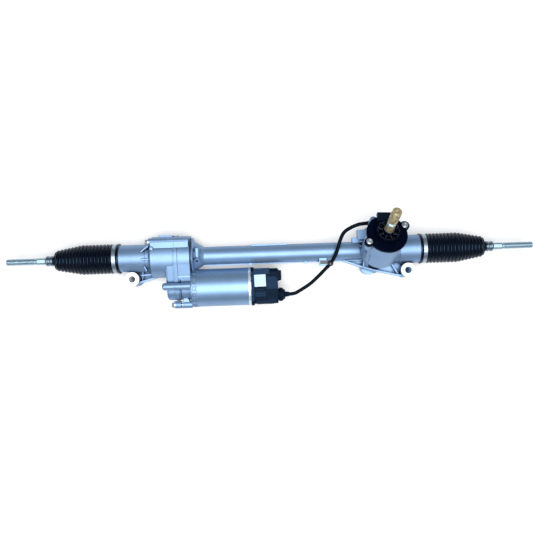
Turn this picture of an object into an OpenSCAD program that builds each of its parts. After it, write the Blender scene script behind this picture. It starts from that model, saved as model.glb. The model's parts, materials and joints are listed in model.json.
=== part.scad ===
// Electric power steering rack with a belt-driven ball nut, in millimetres.
// X runs along the rack, Z runs along the mounting bolts, and the origin lies
// midway between the two mounting bolts on the face that the mounts sit on.

/* [Mounting and rack line] */
// Distance between the two mounting bolts
mount_span = 602; // [598:1:608]
// Distance of the rack axis behind the line of the mounting bolts
axis_y = 46; // [45:0.5:48]
// Height of the rack axis above the mounting face
axis_z = 46; // [46:0.5:48]
// Height of the mounting bosses
mount_h = 62; // [56:1:68]
// Outer radius of the mounting bosses
mount_r = 15.7; // [14.5:0.1:16.5]
// Outer radius of the steel sleeves in the mounts
sleeve_r = 11; // [9.5:0.1:12]
// Bore radius of the sleeves, for an M14 bolt
sleeve_bore_r = 7.25; // [7:0.05:8]
// Half length of the housings, from the middle to the boot seats' ends
house_half = 340; // [337:1:342]

/* [Rack bar] */
// Radius of the rack bar
rack_r = 14; // [13.6:0.1:14.4]
// Travel of the rack to each side
travel = 72; // [66:1:72]
// Thickness of the stop rings
stop_w = 6; // [4:0.5:7]
// Bore radius of the long housing tube
tube_bore_r = 16; // [15.5:0.1:16.4]
// Outer radius of the long housing tube
tube_r = 19.8; // [19:0.1:21]

/* [Tie rods and ball joints] */
// Distance of the ball centres from the middle
ball_x = 377; // [377:1:380]
// Radius of the tie-rod balls
ball_r = 11.4; // [11:0.1:11.6]
// Thickness of the plastic ball seats
seat_t = 1.95; // [1.7:0.05:2.2]
// Outer radius of the ball sockets
socket_r = 18.5; // [18:0.1:19.5]
// Half angle of the sockets' mouths
mouth_angle = 50; // [49:0.5:52]
// Radius of the tie rods
rod_r = 7.5; // [7.2:0.1:8]
// Radius of the rods' necks at the balls
neck_r = 6; // [5.5:0.1:6.2]
// Distance of the outer thread's start from the middle
thread_x = 513; // [511:1:518]
// Length of the tie rods' outer threads
thread_len = 65; // [55:1:75]
// Radius of the tie rods' outer threads, M14
thread_r = 7; // [6.8:0.1:7]

/* [Boots] */
// Length of the boots' cuffs on the housing
cuff_len = 12.5; // [12:0.5:13]
// Radius of the housing under the boots' cuffs
cuff_seat_r = 28; // [27.6:0.1:28.6]
// Outer radius of the boots' full-size folds
boot_r = 33; // [32.5:0.1:34]
// Outer radius of the boots' last fold
boot_end_r = 22.5; // [21:0.5:24]
// Number of folds in each boot
boot_folds = 16; // [13:1:17]
// Depth of the folds
fold_depth = 3.4; // [2.5:0.1:4]
// Wall of the boots
boot_wall = 1.6; // [1.4:0.1:1.8]
// Length of the row of folds
fold_len = 125; // [121:1:126]
// Width of the large boot bands
band_w = 8; // [7:0.5:9]
// Thickness of the boot bands
band_t = 1; // [0.8:0.1:1.2]

/* [Gear case] */
// Position of the gear case's inner face along the rack
case_x = -172; // [-174:1:-170]
// Length of the whole gear case
case_len = 84; // [83:1:88]
// Width of the belt case
belt_case_w = 52.5; // [52:0.5:54]
// Distance from the inner face to the parting line
split_w = 33; // [30:1:36]
// Outer radius of the ball-nut housing
drum_r = 45; // [44.5:0.1:45.5]
// Outer radius of the belt case round the motor pulley
lobe_r = 25; // [24:0.5:26]
// Wall of the belt case
case_wall = 5; // [4:0.5:5.5]
// Radius of the left end tube
left_tube_r = 29.5; // [29:0.1:30.5]
// Radius of the right end tube
right_tube_r = 31; // [30:0.1:32]

/* [Belt drive and ball nut] */
// Distance between the rack axis and the motor axis
belt_centres = 70; // [69:0.5:71]
// Pitch of the toothed belt
belt_pitch = 3; // [2.9:0.01:3.05]
// Teeth of the pulley on the ball nut
nut_pulley_teeth = 65; // [62:1:66]
// Teeth of the pulley on the motor
motor_pulley_teeth = 25; // [22:1:27]
// Width of the belt
belt_w = 26; // [20:1:26]
// Thickness of the belt
belt_t = 2.2; // [1.6:0.1:2.4]
// Outer radius of the ball nut
nut_r = 22; // [21:0.5:23]
// Outer radius of the ball nut's bearing
nut_bearing_r = 36; // [35:0.5:36.5]
// Width of the ball nut's bearing
nut_bearing_w = 18; // [15:0.5:18]
// Number of balls in that bearing
bearing_balls = 18; // [12:1:20]

/* [Motor and control unit] */
// Outer radius of the motor can
motor_r = 41.2; // [40:0.1:42]
// Length of the motor can
motor_len = 111.5; // [108:0.5:114]
// Wall of the motor can
can_wall = 3; // [2:0.5:4]
// Radius of the motor shaft
motor_shaft_r = 5; // [4:0.5:6]
// Radius of the rotor
rotor_r = 20.5; // [18:0.5:23]
// Radius of the circle of motor bolts
motor_bolt_circle = 36; // [35.5:0.1:36.5]
// Length of the control unit along the rack
ecu_len = 58; // [56:1:60]
// Width of the control unit
ecu_w = 76; // [74:0.5:78]
// Height of the control unit
ecu_h = 70; // [66:1:72]
// Wall of the control unit
ecu_wall = 3; // [2:0.5:4]

/* [Pinion tower] */
// Position of the pinion along the rack
pinion_x = 234; // [233:1:236]
// Tilt of the pinion axis back from the mounting bolts, in degrees
tilt = 27; // [26:0.5:28]
// Lean of the pinion axis along the rack, in degrees
lean = 5; // [4:0.5:6]
// Outer radius of the tower
tower_r = 39; // [38:0.5:40]
// Distance of the tower's top from the rack's plane, along the pinion
tower_top = 98; // [94:1:102]
// Radius of the sensor chamber in the tower
chamber_r = 31; // [30:0.5:32]
// Outer radius of the cap's disc
cap_r = 43; // [42:0.5:44]
// Thickness of the cap's disc
cap_t = 4; // [3:0.5:5]
// Outer radius of the cap's cup
cup_r = 25; // [24:0.5:26]
// Height of the cap's cup
cup_h = 14; // [12:1:16]
// Radius of the input shaft
shaft_r = 9.2; // [9:0.1:9.3]
// Radius of the input shaft's splines
spline_r = 10; // [9.9:0.1:10]
// Number of the input shaft's splines
spline_count = 36; // [30:1:40]
// Distance of the input shaft's tip from the rack's plane
shaft_top = 190; // [186:1:196]

/* [Rack teeth] */
// Module of the teeth
gear_m = 2; // [1.95:0.01:2.02]
// Number of pinion teeth
pinion_teeth = 8; // [7:1:8]
// Pressure angle, in degrees
pressure_angle = 20; // [19:0.5:21]
// Profile shift of the pinion, in modules
shift = 0.55; // [0.52:0.01:0.56]
// Clearance at each flank
flank_gap = 0.08; // [0.06:0.01:0.12]
// Distance of the rack's tooth tips from the rack axis
tooth_flat = 10; // [9.8:0.1:10.2]
// Tooth spaces to each side of the middle one
side_spaces = 13; // [12:1:13]

/* [Yoke] */
// Radius of the yoke
yoke_r = 17; // [16:0.5:17.5]
// Outer radius of the yoke's boss
yoke_boss_r = 22; // [21.5:0.5:23]
// Length of the yoke's boss from the rack axis
yoke_len = 50; // [49:0.5:52]

/* [Cable] */
// Diameter of the sensor cable
cable_d = 8; // [7:0.5:8]

/* [Hidden] */
$fn = 96;

// Radial gaps: of running fits, of pressed seats, and beside rubber that flexes
run_gap = 0.05;
seat_gap = 0.02;
soft_gap = 0.3;
// Overrun of a cutter past the face that it cuts
cut = 1;

// Ends of the gear case and its spaces along the rack
case_left = case_x - case_len;
split_x = case_x - split_w;
belt_left = case_x - belt_case_w;
cavity_x0 = belt_left + 3;
cavity_x1 = case_x - 4;
belt_x1 = cavity_x1 - 8;
belt_x0 = belt_x1 - belt_w;
nut_bearing_x1 = cavity_x0 - 5;
nut_bearing_x0 = nut_bearing_x1 - nut_bearing_w;
nut_bearing_step = 2;
nut_x0 = nut_bearing_x0 - 1;
nut_x1 = belt_x1 + 3;
nut_ring_r = nut_r + 6;
bearing_ball_r = 3.6;
bearing_pitch_r = (nut_ring_r + nut_bearing_r - 4) / 2;

// Pulleys
nut_pulley_r = nut_pulley_teeth * belt_pitch / (2 * PI);
motor_pulley_r = motor_pulley_teeth * belt_pitch / (2 * PI);
belt_gap = 0.4;

// Motor
motor_y = axis_y - belt_centres;
flange_step = 2;
flange_x0 = case_x + flange_step;
flange_w = 11;
flange_x1 = flange_x0 + flange_w;
flange_r = motor_r + 0.8;
spigot_r = 19;
can_x1 = flange_x1 + motor_len;
shield_w = 5.5;
ecu_x0 = can_x1 + shield_w;
ecu_x1 = ecu_x0 + ecu_len;
ecu_flange_w = 6;
front_bearing_r = 14;
rear_bearing_r = 11;
bearing_w = 9;
rotor_len = motor_len - 37;
rotor_x0 = flange_x1 + 14;
motor_bolt_angles = [-9.5, 78, 168];
motor_ear_r = 8;

// Plug of the sensor cable on the control unit, from the motor axis
plug_y = -20;
plug_z = 4;
plug_r = 14;
plug_len = 15.5;
plug_nose_r = 9;
relief_len = 9.5;

// Harness connector on the control unit, from the motor axis
socket_y = 22.5;
socket_z = 4;
socket_w = 21;
socket_h = 26;
socket_wall = 1.8;
socket_out = 8;
socket_in = 14;

// Mounts
mount_x = mount_span / 2;
cuff_x = house_half - cuff_len;

// Rack ends: the sockets screw onto studs on the bar's ends
cavity_r = ball_r + seat_t + 2 * run_gap;
mouth_x = cavity_r * cos(mouth_angle);
mouth_r = cavity_r * sin(mouth_angle);
socket_x0 = ball_x - 29;
stop_x = socket_x0 - travel - 1;
socket_x1 = ball_x + 13;
stud_r = 10;
stud_len = 14;
end_bore_r = cuff_seat_r - 1.5;
bush_x0 = pinion_x + yoke_r + 1.5;
bush_r = rack_r + 4;

// Boots, from the middle outwards
band_x0 = cuff_x + 6;
fold_x0 = band_x0 + band_w + 0.5;
fold_x1 = fold_x0 + fold_len;
neck_x = fold_x1 + 5;
neck_len = 19;
boot_neck_r = rod_r + soft_gap + boot_wall;
fold_straight = 0.55;
lip_r = boot_r + 0.5;
clip_x0 = neck_x + 3;
clip_w = 15;

// Rack and pinion mesh, seen along the pinion axis
pitch_r = gear_m * pinion_teeth / 2;
line_r = pitch_r + shift * gear_m;
base_r = pitch_r * cos(pressure_angle);
tip_r = line_r + 0.75 * gear_m;
root_r = line_r - 1.25 * gear_m;
rack_tip = line_r - gear_m;
rack_root = line_r + 0.95 * gear_m;
pinion_offset = tooth_flat + rack_tip;
pitch_x = PI * gear_m / cos(lean);
tooth_face = 28;

// Levels along the pinion axis, from the rack's plane
lower_journal_r = 6.2;
lower_bearing_r = 13;
lower_bearing_z0 = -34;
lower_bearing_z1 = -18;
gear_chamber_r = tip_r + 1.4;
upper_journal_r = 12;
upper_bearing_r = 24;
upper_bearing_z0 = 20;
upper_bearing_z1 = 34;
boss_z0 = -48;
lower_boss_r = 16;
head_r = 14;
head_z1 = 60;
shaft_z0 = 46;
slot_z = 50;
flat_half = 6.9;
twist_limit = 4.5;
// half width of the pinion's slot, which stops the flats at the twist limit
slot_half = flat_half * cos(twist_limit) + sqrt(pow(shaft_r, 2) - pow(flat_half, 2)) * sin(twist_limit)
            + run_gap;
bar_r = 3;
bar_z0 = 22;
bar_z1 = 150;
magnet_z0 = 68;
magnet_w = 10;
magnet_r = 16;
coil_r = 17.5;
cap_top = tower_top + cap_t;
cup_top = cap_top + cup_h;
hub_r = 12;
hub_top = cup_top + 6;
hub_bore_r = spline_r + 0.1;
seal_z0 = tower_top + 6;
seal_w = 8;
cup_wall = 3;
groove_z = shaft_top - 43;
groove_w = 5;
ear_angle = 27;
ear_at = 44;
ear_r = 10;
ear_h = 14;
screw_r = 6.6;

// Yoke, outwards from the rack axis
yoke_x0 = 10;
yoke_x1 = 30;
plug_x0 = 37;
spring_r = 9;

// Plug of the cable at the sensor, in the pinion's frame
sensor_plug_x = -30;
sensor_plug_y = 46;
sensor_plug_z = 66;

// Point of the part's frame for one of the pinion's frame
function from_pinion(p) =
    let (x = p[0] * cos(lean) + p[2] * sin(lean), y = p[1] - pinion_offset,
         z = p[2] * cos(lean) - p[0] * sin(lean))
    [pinion_x + x, axis_y + y * cos(tilt) + z * sin(tilt), axis_z - y * sin(tilt) + z * cos(tilt)];

// Route of the sensor cable from the control unit to the sensor, as shares of
// the way between its two ends
cable_from = [ecu_x1 + plug_len + relief_len, motor_y + plug_y, axis_z + plug_z];
cable_to = from_pinion([sensor_plug_x, sensor_plug_y, sensor_plug_z]);
route_shares = [[0, 0, 0], [0.071, 0.01, 0], [0.148, 0.055, 0.011], [0.272, 0.143, 0.046],
                [0.379, 0.252, 0.16], [0.462, 0.347, 0.285], [0.538, 0.436, 0.388],
                [0.598, 0.552, 0.502], [0.633, 0.661, 0.594], [0.669, 0.79, 0.685],
                [0.716, 0.886, 0.799], [0.799, 0.947, 0.913], [0.899, 0.988, 1.005], [1, 1, 1]];
cable_route = [for (f = route_shares) [for (k = [0:2]) cable_from[k] + f[k] * (cable_to[k] - cable_from[k])]];
cable_sides = 10;
clip_point = 6;

// Frames -----------------------------------------------------------------

module rack_frame() {
    translate([0, axis_y, axis_z]) children();
}

module motor_frame() {
    translate([0, motor_y, axis_z]) children();
}

// Frame of the pinion: Z along its axis, origin level with the rack axis
module pinion_frame() {
    translate([pinion_x, axis_y, axis_z])
        rotate([-tilt, 0, 0]) rotate([0, lean, 0]) translate([0, -pinion_offset, 0]) children();
}

// Frame of the yoke: Z outwards from the rack axis, away from the pinion
module yoke_frame() {
    translate([pinion_x, axis_y, axis_z]) rotate([-tilt, 0, 0]) rotate([-90, 0, 0]) children();
}

// One side of the rack, with +X outwards: side is 1 on the right and -1 on the left
module at_side(side) {
    if (side < 0) mirror([1, 0, 0]) rack_frame() children();
    else rack_frame() children();
}

// Shapes along the rack's X direction ------------------------------------

module x_cyl(x0, x1, r) {
    translate([x0, 0, 0]) rotate([0, 90, 0]) cylinder(h = x1 - x0, r = r);
}

module x_cone(x0, x1, r0, r1) {
    translate([x0, 0, 0]) rotate([0, 90, 0]) cylinder(h = x1 - x0, r1 = r0, r2 = r1);
}

module x_ring(x0, x1, r_out, r_in) {
    difference() {
        x_cyl(x0, x1, r_out);
        x_cyl(x0 - cut, x1 + cut, r_in);
    }
}

// Sphere with its poles on the X axis
module x_ball(r) {
    rotate([0, 90, 0]) sphere(r = r);
}

// Profile of [x, radius] points turned about the X axis
module x_turned(points) {
    rotate([0, 90, 0]) rotate_extrude() polygon([for (p = points) [p[1], p[0]]]);
}

// Profile in Y and Z carried along X
module x_extrude(x0, x1) {
    translate([x0, 0, 0]) rotate([90, 0, 90]) linear_extrude(height = x1 - x0) children();
}

module z_cyl(z0, z1, r) {
    translate([0, 0, z0]) cylinder(h = z1 - z0, r = r);
}

module z_ring(z0, z1, r_out, r_in) {
    translate([0, 0, z0]) difference() {
        cylinder(h = z1 - z0, r = r_out);
        translate([0, 0, -cut]) cylinder(h = z1 - z0 + 2 * cut, r = r_in);
    }
}

// Two parallel cylinders along X joined by flanks, the second one d towards -Y
module lobes(x0, x1, r1, r2, d) {
    s = (r1 - r2) / d;
    c = sqrt(1 - s * s);
    flank = 0.994;
    x_cyl(x0, x1, r1);
    translate([0, -d, 0]) x_cyl(x0, x1, r2);
    x_extrude(x0, x1)
        polygon([[-r1 * s, r1 * c * flank], [-d - r2 * s, r2 * c * flank],
                 [-d - r2 * s, -r2 * c * flank], [-r1 * s, -r1 * c * flank]]);
}

// Corner points of an upright rectangle with round corners, centred on the origin
function round_rect(w, h, r, steps = 6) =
    [for (q = [0:3], i = [0:steps])
        let (a = q * 90 + i * 90 / steps)
        [(q == 0 || q == 3 ? 1 : -1) * (w / 2 - r) + r * cos(a),
         (q < 2 ? 1 : -1) * (h / 2 - r) + r * sin(a)]];

// Outline round two circles a belt's length apart, the second one d towards -Y
function belt_line(r1, r2, d, steps = 40) =
    let (a = asin((r1 - r2) / d))
    concat([for (i = [0:steps]) let (t = -90 - a + i * (180 + 2 * a) / steps) r1 * [cos(t), sin(t)]],
           [for (i = [0:steps]) let (t = 90 + a + i * (180 - 2 * a) / steps)
               [-d + r2 * cos(t), r2 * sin(t)]]);

// Bolt with a hexagon flange head, along +X, with the head's seat at x = 0
module flange_bolt(len, r, head) {
    union() {
        x_cyl(0, len, r);
        x_cyl(-2.2, 0, head * 1.28);
        translate([-7.6, 0, 0]) rotate([0, 90, 0]) cylinder(h = 5.5, r = head, $fn = 6);
        x_cone(-9, -7.5, head * 0.5, head * 0.82);
    }
}

// Castings ---------------------------------------------------------------

// Mounting boss on the line of bolts, in the part's own frame
module mount_boss(x) {
    translate([x, 0, 0]) cylinder(h = mount_h, r = mount_r);
    // machined ring at the foot of the boss
    translate([x, 0, 0]) cylinder(h = 6, r = mount_r + 1.2);
}

module mount_bore(x) {
    translate([x, 0, -cut]) cylinder(h = mount_h + 2 * cut, r = sleeve_r + seat_gap);
}

// Flat web from a mounting boss to its casting, with a standing rim on its free edge
module mount_web(points, z0, z1) {
    translate([0, 0, z0]) linear_extrude(height = z1 - z0) polygon(points);
}

// Standing wall of thickness t between two points of the plan
module plan_wall(a, b, t, z0, z1) {
    d = b - a;
    len = norm(d);
    translate([a[0], a[1], z0]) rotate([0, 0, atan2(d[1], d[0])])
        translate([-t / 2, -t / 2, 0]) cube([len + t, t, z1 - z0]);
}

function unit(v) = v / norm(v);

// Outline of a strip of width t along a line of points in the plan
function strip(points, t) =
    let (n = len(points),
         sides = [for (i = [0:n - 1])
             let (d = unit(points[min(i + 1, n - 1)] - points[max(i - 1, 0)])) [-d[1], d[0]] * t / 2])
    concat([for (i = [0:n - 1]) points[i] + sides[i]], [for (i = [n - 1:-1:0]) points[i] - sides[i]]);

// Bosses of the bolts that hold the two castings together, from the rack axis
case_bolt_spots = [[33, 31.5], [33, -31.5]];
case_ear_r = 8.5;
case_bolt_x0 = case_left - 3;

module case_ears(x0, x1) {
    for (p = case_bolt_spots)
        translate([0, p[0], p[1]]) x_cyl(x0, x1, case_ear_r);
}

// Seat of the lowest motor bolt's head
low_bolt_x0 = split_x - 4;

// Ears of the motor bolts, from the motor axis
module motor_ears(x0, x1, angles) {
    for (a = angles)
        translate([0, -motor_bolt_circle * sin(a), motor_bolt_circle * cos(a)])
            x_cyl(x0, x1, motor_ear_r);
}

module motor_ear_holes(x0, x1, r, angles) {
    for (a = angles)
        translate([0, -motor_bolt_circle * sin(a), motor_bolt_circle * cos(a)]) x_cyl(x0, x1, r);
}

module belt_cavity() {
    lobes(cavity_x0, cavity_x1, drum_r - case_wall - 1, lobe_r - case_wall, belt_centres);
}

// Space on one side of the parting line, larger than the belt case
module beside_split(side) {
    reach = belt_case_w + belt_centres + 2 * drum_r;
    translate([side > 0 ? split_x : split_x - reach, -reach, -reach]) cube([reach, 2 * reach, 2 * reach]);
}

// Casting on the left: ball-nut housing, left half of the belt case and left mount
module nut_housing() {
    color([0.76, 0.79, 0.82]) difference() {
        union() {
            rack_frame() {
                x_cyl(-house_half, -cuff_x + cut, cuff_seat_r);
                x_cyl(-cuff_x, case_left + cut, left_tube_r);
                x_cyl(case_left, split_x, drum_r);
                x_cyl(case_left - 13, case_left + cut, left_tube_r + 1.4);
                x_cone(case_left - 6, case_left, left_tube_r + 1.2, drum_r - 5);
                // belt case, stepped back at its left edge
                lobes(belt_left + 3.5, split_x, drum_r - 0.5, lobe_r, belt_centres);
                lobes(belt_left + 1.4, split_x - cut, drum_r - 1.4, lobe_r - 1.2, belt_centres);
                lobes(belt_left, split_x - 2, drum_r - 3.2, lobe_r - 3, belt_centres);
                // flange at the parting line
                lobes(split_x - 2.5, split_x, drum_r + 0.5, lobe_r + 0.8, belt_centres);
                case_ears(case_bolt_x0, split_x);
                // plain pad on the back of the drum
                translate([case_left + 17, drum_r - 10, -22]) cube([split_x - case_left - 21, 12, 44]);
                // plateau beside the upper bolt boss
                translate([case_left + 1, 19, 26]) cube([split_x - case_left - 1, 13, 16.3]);
                // dome at the drum's left end
                translate([case_left + 3.5, 18.4, 30]) cylinder(h = 12.2, r = 5);
                translate([case_left + 3.5, 18.4, 42.1]) cylinder(h = 3.4, r1 = 5, r2 = 3.2);
                // flat flank of the end tube, above the mount
                x_extrude(-cuff_x + 8, case_left + 2)
                    polygon([[-15.4, 26], [-left_tube_r - 0.2, 12.6], [-left_tube_r - 0.2, -6], [-15.4, -6]]);
                // ribs that fan out over the end tube from the drum
                translate([case_left - 21, -5, 20]) cube([22, 2.6, 14]);
                translate([case_left - 21.5, 11.2, 18]) rotate([0, 0, 37]) cube([21, 2.6, 13]);
                translate([case_left - 17, -19, 12]) rotate([0, 0, -62]) cube([12, 2.4, 14]);
            }
            // long blind boss of the upper motor stud
            motor_frame() motor_ears(belt_left - 5, split_x, [motor_bolt_angles[0]]);
            motor_frame() translate([0, -motor_bolt_circle * sin(motor_bolt_angles[0]),
                                     motor_bolt_circle * cos(motor_bolt_angles[0])])
                x_cone(belt_left - 8, belt_left - 4.9, motor_ear_r - 3, motor_ear_r - 0.3);
            mount_boss(-mount_x);
            mount_web([[-mount_x - 12, 2], [-mount_x - 12, 34], [case_left + 4, 34], [case_left + 4, 2],
                       [-mount_x + 14, -mount_r + 8]], axis_z - 20, axis_z - 12);
            plan_wall([-mount_x + 12, -mount_r + 7.5], [case_left + 4, 1.5], 3.4, axis_z - 24, axis_z + 6);
            plan_wall([-mount_x, 10], [-mount_x, 30], 16, axis_z - 26, axis_z + 8);
            // ribs of the web
            plan_wall([-mount_x + 17, 7.5], [case_left + 4, 9.5], 3, axis_z - 22, axis_z - 2);
            plan_wall([-mount_x + 19, -4], [-mount_x + 22, 26], 3, axis_z - 23, axis_z - 4);
        }
        mount_bore(-mount_x);
        rack_frame() {
            x_cyl(-house_half - cut, -stop_x + stop_w, end_bore_r);
            x_cyl(-stop_x, case_left + 16, tube_bore_r);
            x_cyl(nut_x0 - 1, belt_left + 3, nut_bearing_r + seat_gap);
            x_cyl(case_left + 7, nut_bearing_x0 + nut_bearing_step, nut_ring_r + 3);
            for (p = case_bolt_spots) translate([0, p[0], p[1]])
                x_cyl(case_bolt_x0 - cut, split_x + cut, 4 + seat_gap);
        }
        difference() {
            rack_frame() belt_cavity();
            rack_frame() beside_split(1);
        }
        motor_frame() motor_ear_holes(belt_left - 2, split_x + cut, 3.5 + seat_gap,
                                      [motor_bolt_angles[0]]);
    }
}

// Middle of the rim of the right mount's web, from the tube's end to the mount
web_edge = [[pinion_x - 74, 25.7], [pinion_x - 39, 12.7], [pinion_x - 6, 1.7], [mount_x - 19, -10.9]];

// Casting on the right: belt case half, long tube, pinion tower and right mount
module main_housing() {
    color([0.76, 0.79, 0.82]) difference() {
        union() {
            rack_frame() {
                lobes(split_x, case_x, drum_r, lobe_r, belt_centres);
                lobes(split_x, split_x + 6.5, drum_r + 1.6, lobe_r + 1.8, belt_centres);
                // shoulder behind a groove, with a thin rib at its edge
                x_turned([[case_x - cut, 0], [case_x - cut, 37], [case_x + 3.5, 37], [case_x + 4, 41],
                          [case_x + 6, 40], [case_x + 9, 31.5], [case_x + 18.5, 26], [case_x + 29, tube_r],
                          [case_x + 29, 0]]);
                x_cyl(case_x, pinion_x + 16, tube_r);
                x_cone(pinion_x - 32, pinion_x + 2, tube_r - 0.5, right_tube_r - 2);
                x_cyl(pinion_x, pinion_x + 50, right_tube_r - 1.2);
                x_cyl(pinion_x + 49, cuff_x, right_tube_r);
                x_cyl(cuff_x - cut, house_half, cuff_seat_r);
                case_ears(split_x, case_x - 2);
                // bar on the flank of the belt case, and the plateau of the upper bolt boss
                translate([split_x + 5, -45.5, 24]) cube([case_x - split_x - 5, 4, 11]);
                translate([split_x, 19, 26]) cube([case_x - 2 - split_x, 13, 16.3]);
                // plug boss across the shoulder, its face turned up
                translate([case_x + 15, 17, 24.5]) rotate([90, 0, 0]) cylinder(h = 22, r = 7);
                translate([case_x + 15, -5, 24.5]) rotate([45, 0, 0]) cylinder(h = 9, r = 6.8);
                // machined pad on the back of the tube
                translate([-40, tube_r - 6, -9]) cube([79, 7.5, 18]);
                // seam rib under the tube's front edge, with two lugs
                translate([case_x + 30, -tube_r - 2.2, -2.5]) cube([pinion_x - 34 - case_x, 6, 5]);
                for (x = [-42, 79]) translate([x, -tube_r - 0.6, -4.5]) cylinder(h = 9, r = 4.5);
                cable_bracket();
            }
            motor_frame() motor_ears(split_x, case_x, [motor_bolt_angles[0]]);
            motor_frame() motor_ears(low_bolt_x0, case_x, [motor_bolt_angles[1]]);
            motor_frame() motor_ears(split_x + 4, case_x, [motor_bolt_angles[2]]);
            // gussets from the ears to the case
            motor_frame() {
                translate([0, 0, -3]) linear_extrude(height = 16)
                    polygon([[case_x - 17, -20], [case_x - 9.8, -20], [case_x - 0.6, -38.4],
                             [case_x - 23.8, -38.4]]);
                translate([case_x - 20, -10, -motor_bolt_circle + 2]) cube([20, 8, 16]);
            }
            // foot boss under the pinion
            translate([pinion_x - 16, 9, 10]) cylinder(h = 25, r = 16.5);
            // stepped blocks and ribs between the tube and the tower
            rack_frame() {
                translate([pinion_x - 52, 14, -8]) cube([34, 15, 18]);
                translate([pinion_x - 40, 24, -10.5]) cube([22, 21, 23]);
                for (y = [8, 18]) translate([pinion_x - 38, y, 6]) cube([14, 2.4, 20]);
            }
            pinion_frame() tower_body();
            yoke_frame() yoke_boss();
            mount_boss(mount_x);
            right_web();
        }
        mount_bore(mount_x);
        lobe_groove();
        rack_frame() {
            x_cyl(case_x - 20, stop_x, tube_bore_r);
            x_cyl(bush_x0, stop_x, bush_r + seat_gap);
            x_cyl(stop_x - stop_w, house_half + cut, end_bore_r);
            // socket in the plug boss
            translate([case_x + 15, -5, 24.5]) rotate([45, 0, 0]) translate([0, 0, 6])
                cylinder(h = 4, r = 3.2, $fn = 6);
            for (p = case_bolt_spots) translate([0, p[0], p[1]])
                x_cyl(split_x - cut, case_x - 8, 4 + seat_gap);
        }
        difference() {
            rack_frame() belt_cavity();
            rack_frame() beside_split(-1);
        }
        motor_frame() {
            // room for the motor beside the shoulder
            x_cyl(case_x, case_x + 60, flange_r + 1);
            x_cyl(cavity_x1 - cut, case_x + cut, spigot_r + seat_gap);
            motor_ear_holes(low_bolt_x0 - cut, case_x + cut, 3.5 + seat_gap, motor_bolt_angles);
        }
        pinion_frame() tower_bore();
        yoke_frame() cylinder(h = yoke_len + cut, r = yoke_r + run_gap);
    }
}

// Groove round the lower end of the belt case
module lobe_groove() {
    rack_frame() difference() {
        translate([split_x + 9.5, -belt_centres - 40, -40]) cube([3, 60, 80]);
        lobes(split_x + 8, split_x + 14, drum_r - 2.3, lobe_r - 2.3, belt_centres);
    }
}

// Lug on the tube's front edge that carries the cable clip, in the rack frame
bracket_x = cable_route[clip_point][0] - 24;
bracket_w = 16;
bracket_top = 14;

module cable_bracket() {
    difference() {
        translate([bracket_x, -31, bracket_top - 12]) cube([bracket_w, 20, 12]);
        translate([bracket_x + 3, -28, bracket_top - 15]) cube([bracket_w - 6, 8, 11]);
    }
}

module right_web() {
    mount_web(concat(web_edge, [[mount_x - 4, -mount_r + 6], [mount_x + 10, 4], [mount_x + 10, 30],
                                [web_edge[0][0], 34]]), axis_z - 21, axis_z - 13);
    rim = concat(web_edge, [[mount_x - 5, -mount_r + 4]]);
    mount_web(strip(rim, 3.4), axis_z - 24, axis_z + 4);
    // cross ribs
    plan_wall([mount_x - 19, -9], [mount_x - 38, 24], 3, axis_z - 23, axis_z - 2);
    plan_wall([pinion_x - 29, 10.5], [pinion_x - 26, 30], 3, axis_z - 23, axis_z + 6);
    plan_wall([mount_x, 8], [mount_x, 30], 16, axis_z - 26, axis_z + 6);
}

module tower_body() {
    translate([0, 0, upper_bearing_z0 + 2]) cylinder(h = tower_top - upper_bearing_z0 - 2, r = tower_r);
    translate([0, 0, -14]) cylinder(h = upper_bearing_z0 + 16.01, r1 = lower_boss_r + 1, r2 = tower_r);
    translate([0, 0, boss_z0]) cylinder(h = 50, r = lower_boss_r);
    // ears of the cap screws
    for (a = [ear_angle, ear_angle + 180]) rotate([0, 0, a])
        translate([ear_at, 0, tower_top - ear_h]) cylinder(h = ear_h, r = ear_r - 0.6);
    for (a = [ear_angle, ear_angle + 180]) rotate([0, 0, a])
        translate([tower_r - 6, -ear_r + 1.5, tower_top - ear_h]) cube([10, 2 * ear_r - 3, ear_h]);
    // lug behind the sensor connector
    translate([-23, 37, tower_top - 22]) cylinder(h = 20, r = 8);
    // ribs on the front of the tower
    for (a = [205, 222]) rotate([0, 0, a])
        translate([tower_r - 3, -1.6, upper_bearing_z0 + 4]) cube([5, 3.2, 30]);
}

module tower_bore() {
    translate([0, 0, boss_z0 - cut]) cylinder(h = lower_bearing_z0 - boss_z0 + cut, r = lower_bearing_r + 1);
    translate([0, 0, boss_z0]) cylinder(h = lower_bearing_z1 - boss_z0, r = lower_bearing_r + seat_gap);
    translate([0, 0, lower_bearing_z1 - cut])
        cylinder(h = upper_bearing_z0 - lower_bearing_z1 + 2 * cut, r = gear_chamber_r);
    translate([0, 0, upper_bearing_z0])
        cylinder(h = tower_top - upper_bearing_z0, r = upper_bearing_r + seat_gap);
    translate([0, 0, upper_bearing_z1 + 4]) cylinder(h = tower_top - upper_bearing_z1, r = chamber_r);
    for (a = [ear_angle, ear_angle + 180]) rotate([0, 0, a])
        translate([ear_at, 0, tower_top - ear_h + 3]) cylinder(h = ear_h, r = 2.5 + seat_gap);
}

module yoke_boss() {
    cylinder(h = yoke_len, r = yoke_boss_r);
    // collar where the boss leaves the casting
    cylinder(h = yoke_len - 12, r = yoke_boss_r + 2.5);
    // rib along the back of the boss, towards the tube
    translate([-yoke_boss_r - 16, -4, tube_r - 8]) cube([22, 8, yoke_len - 30]);
}

module left_mount_sleeve() {
    color([0.82, 0.84, 0.86]) translate([-mount_x, 0, 0]) z_ring(0, mount_h + 0.6, sleeve_r, sleeve_bore_r);
}

module right_mount_sleeve() {
    color([0.82, 0.84, 0.86]) translate([mount_x, 0, 0]) z_ring(0, mount_h + 0.6, sleeve_r, sleeve_bore_r);
}

// Fasteners ----------------------------------------------------------------

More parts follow.
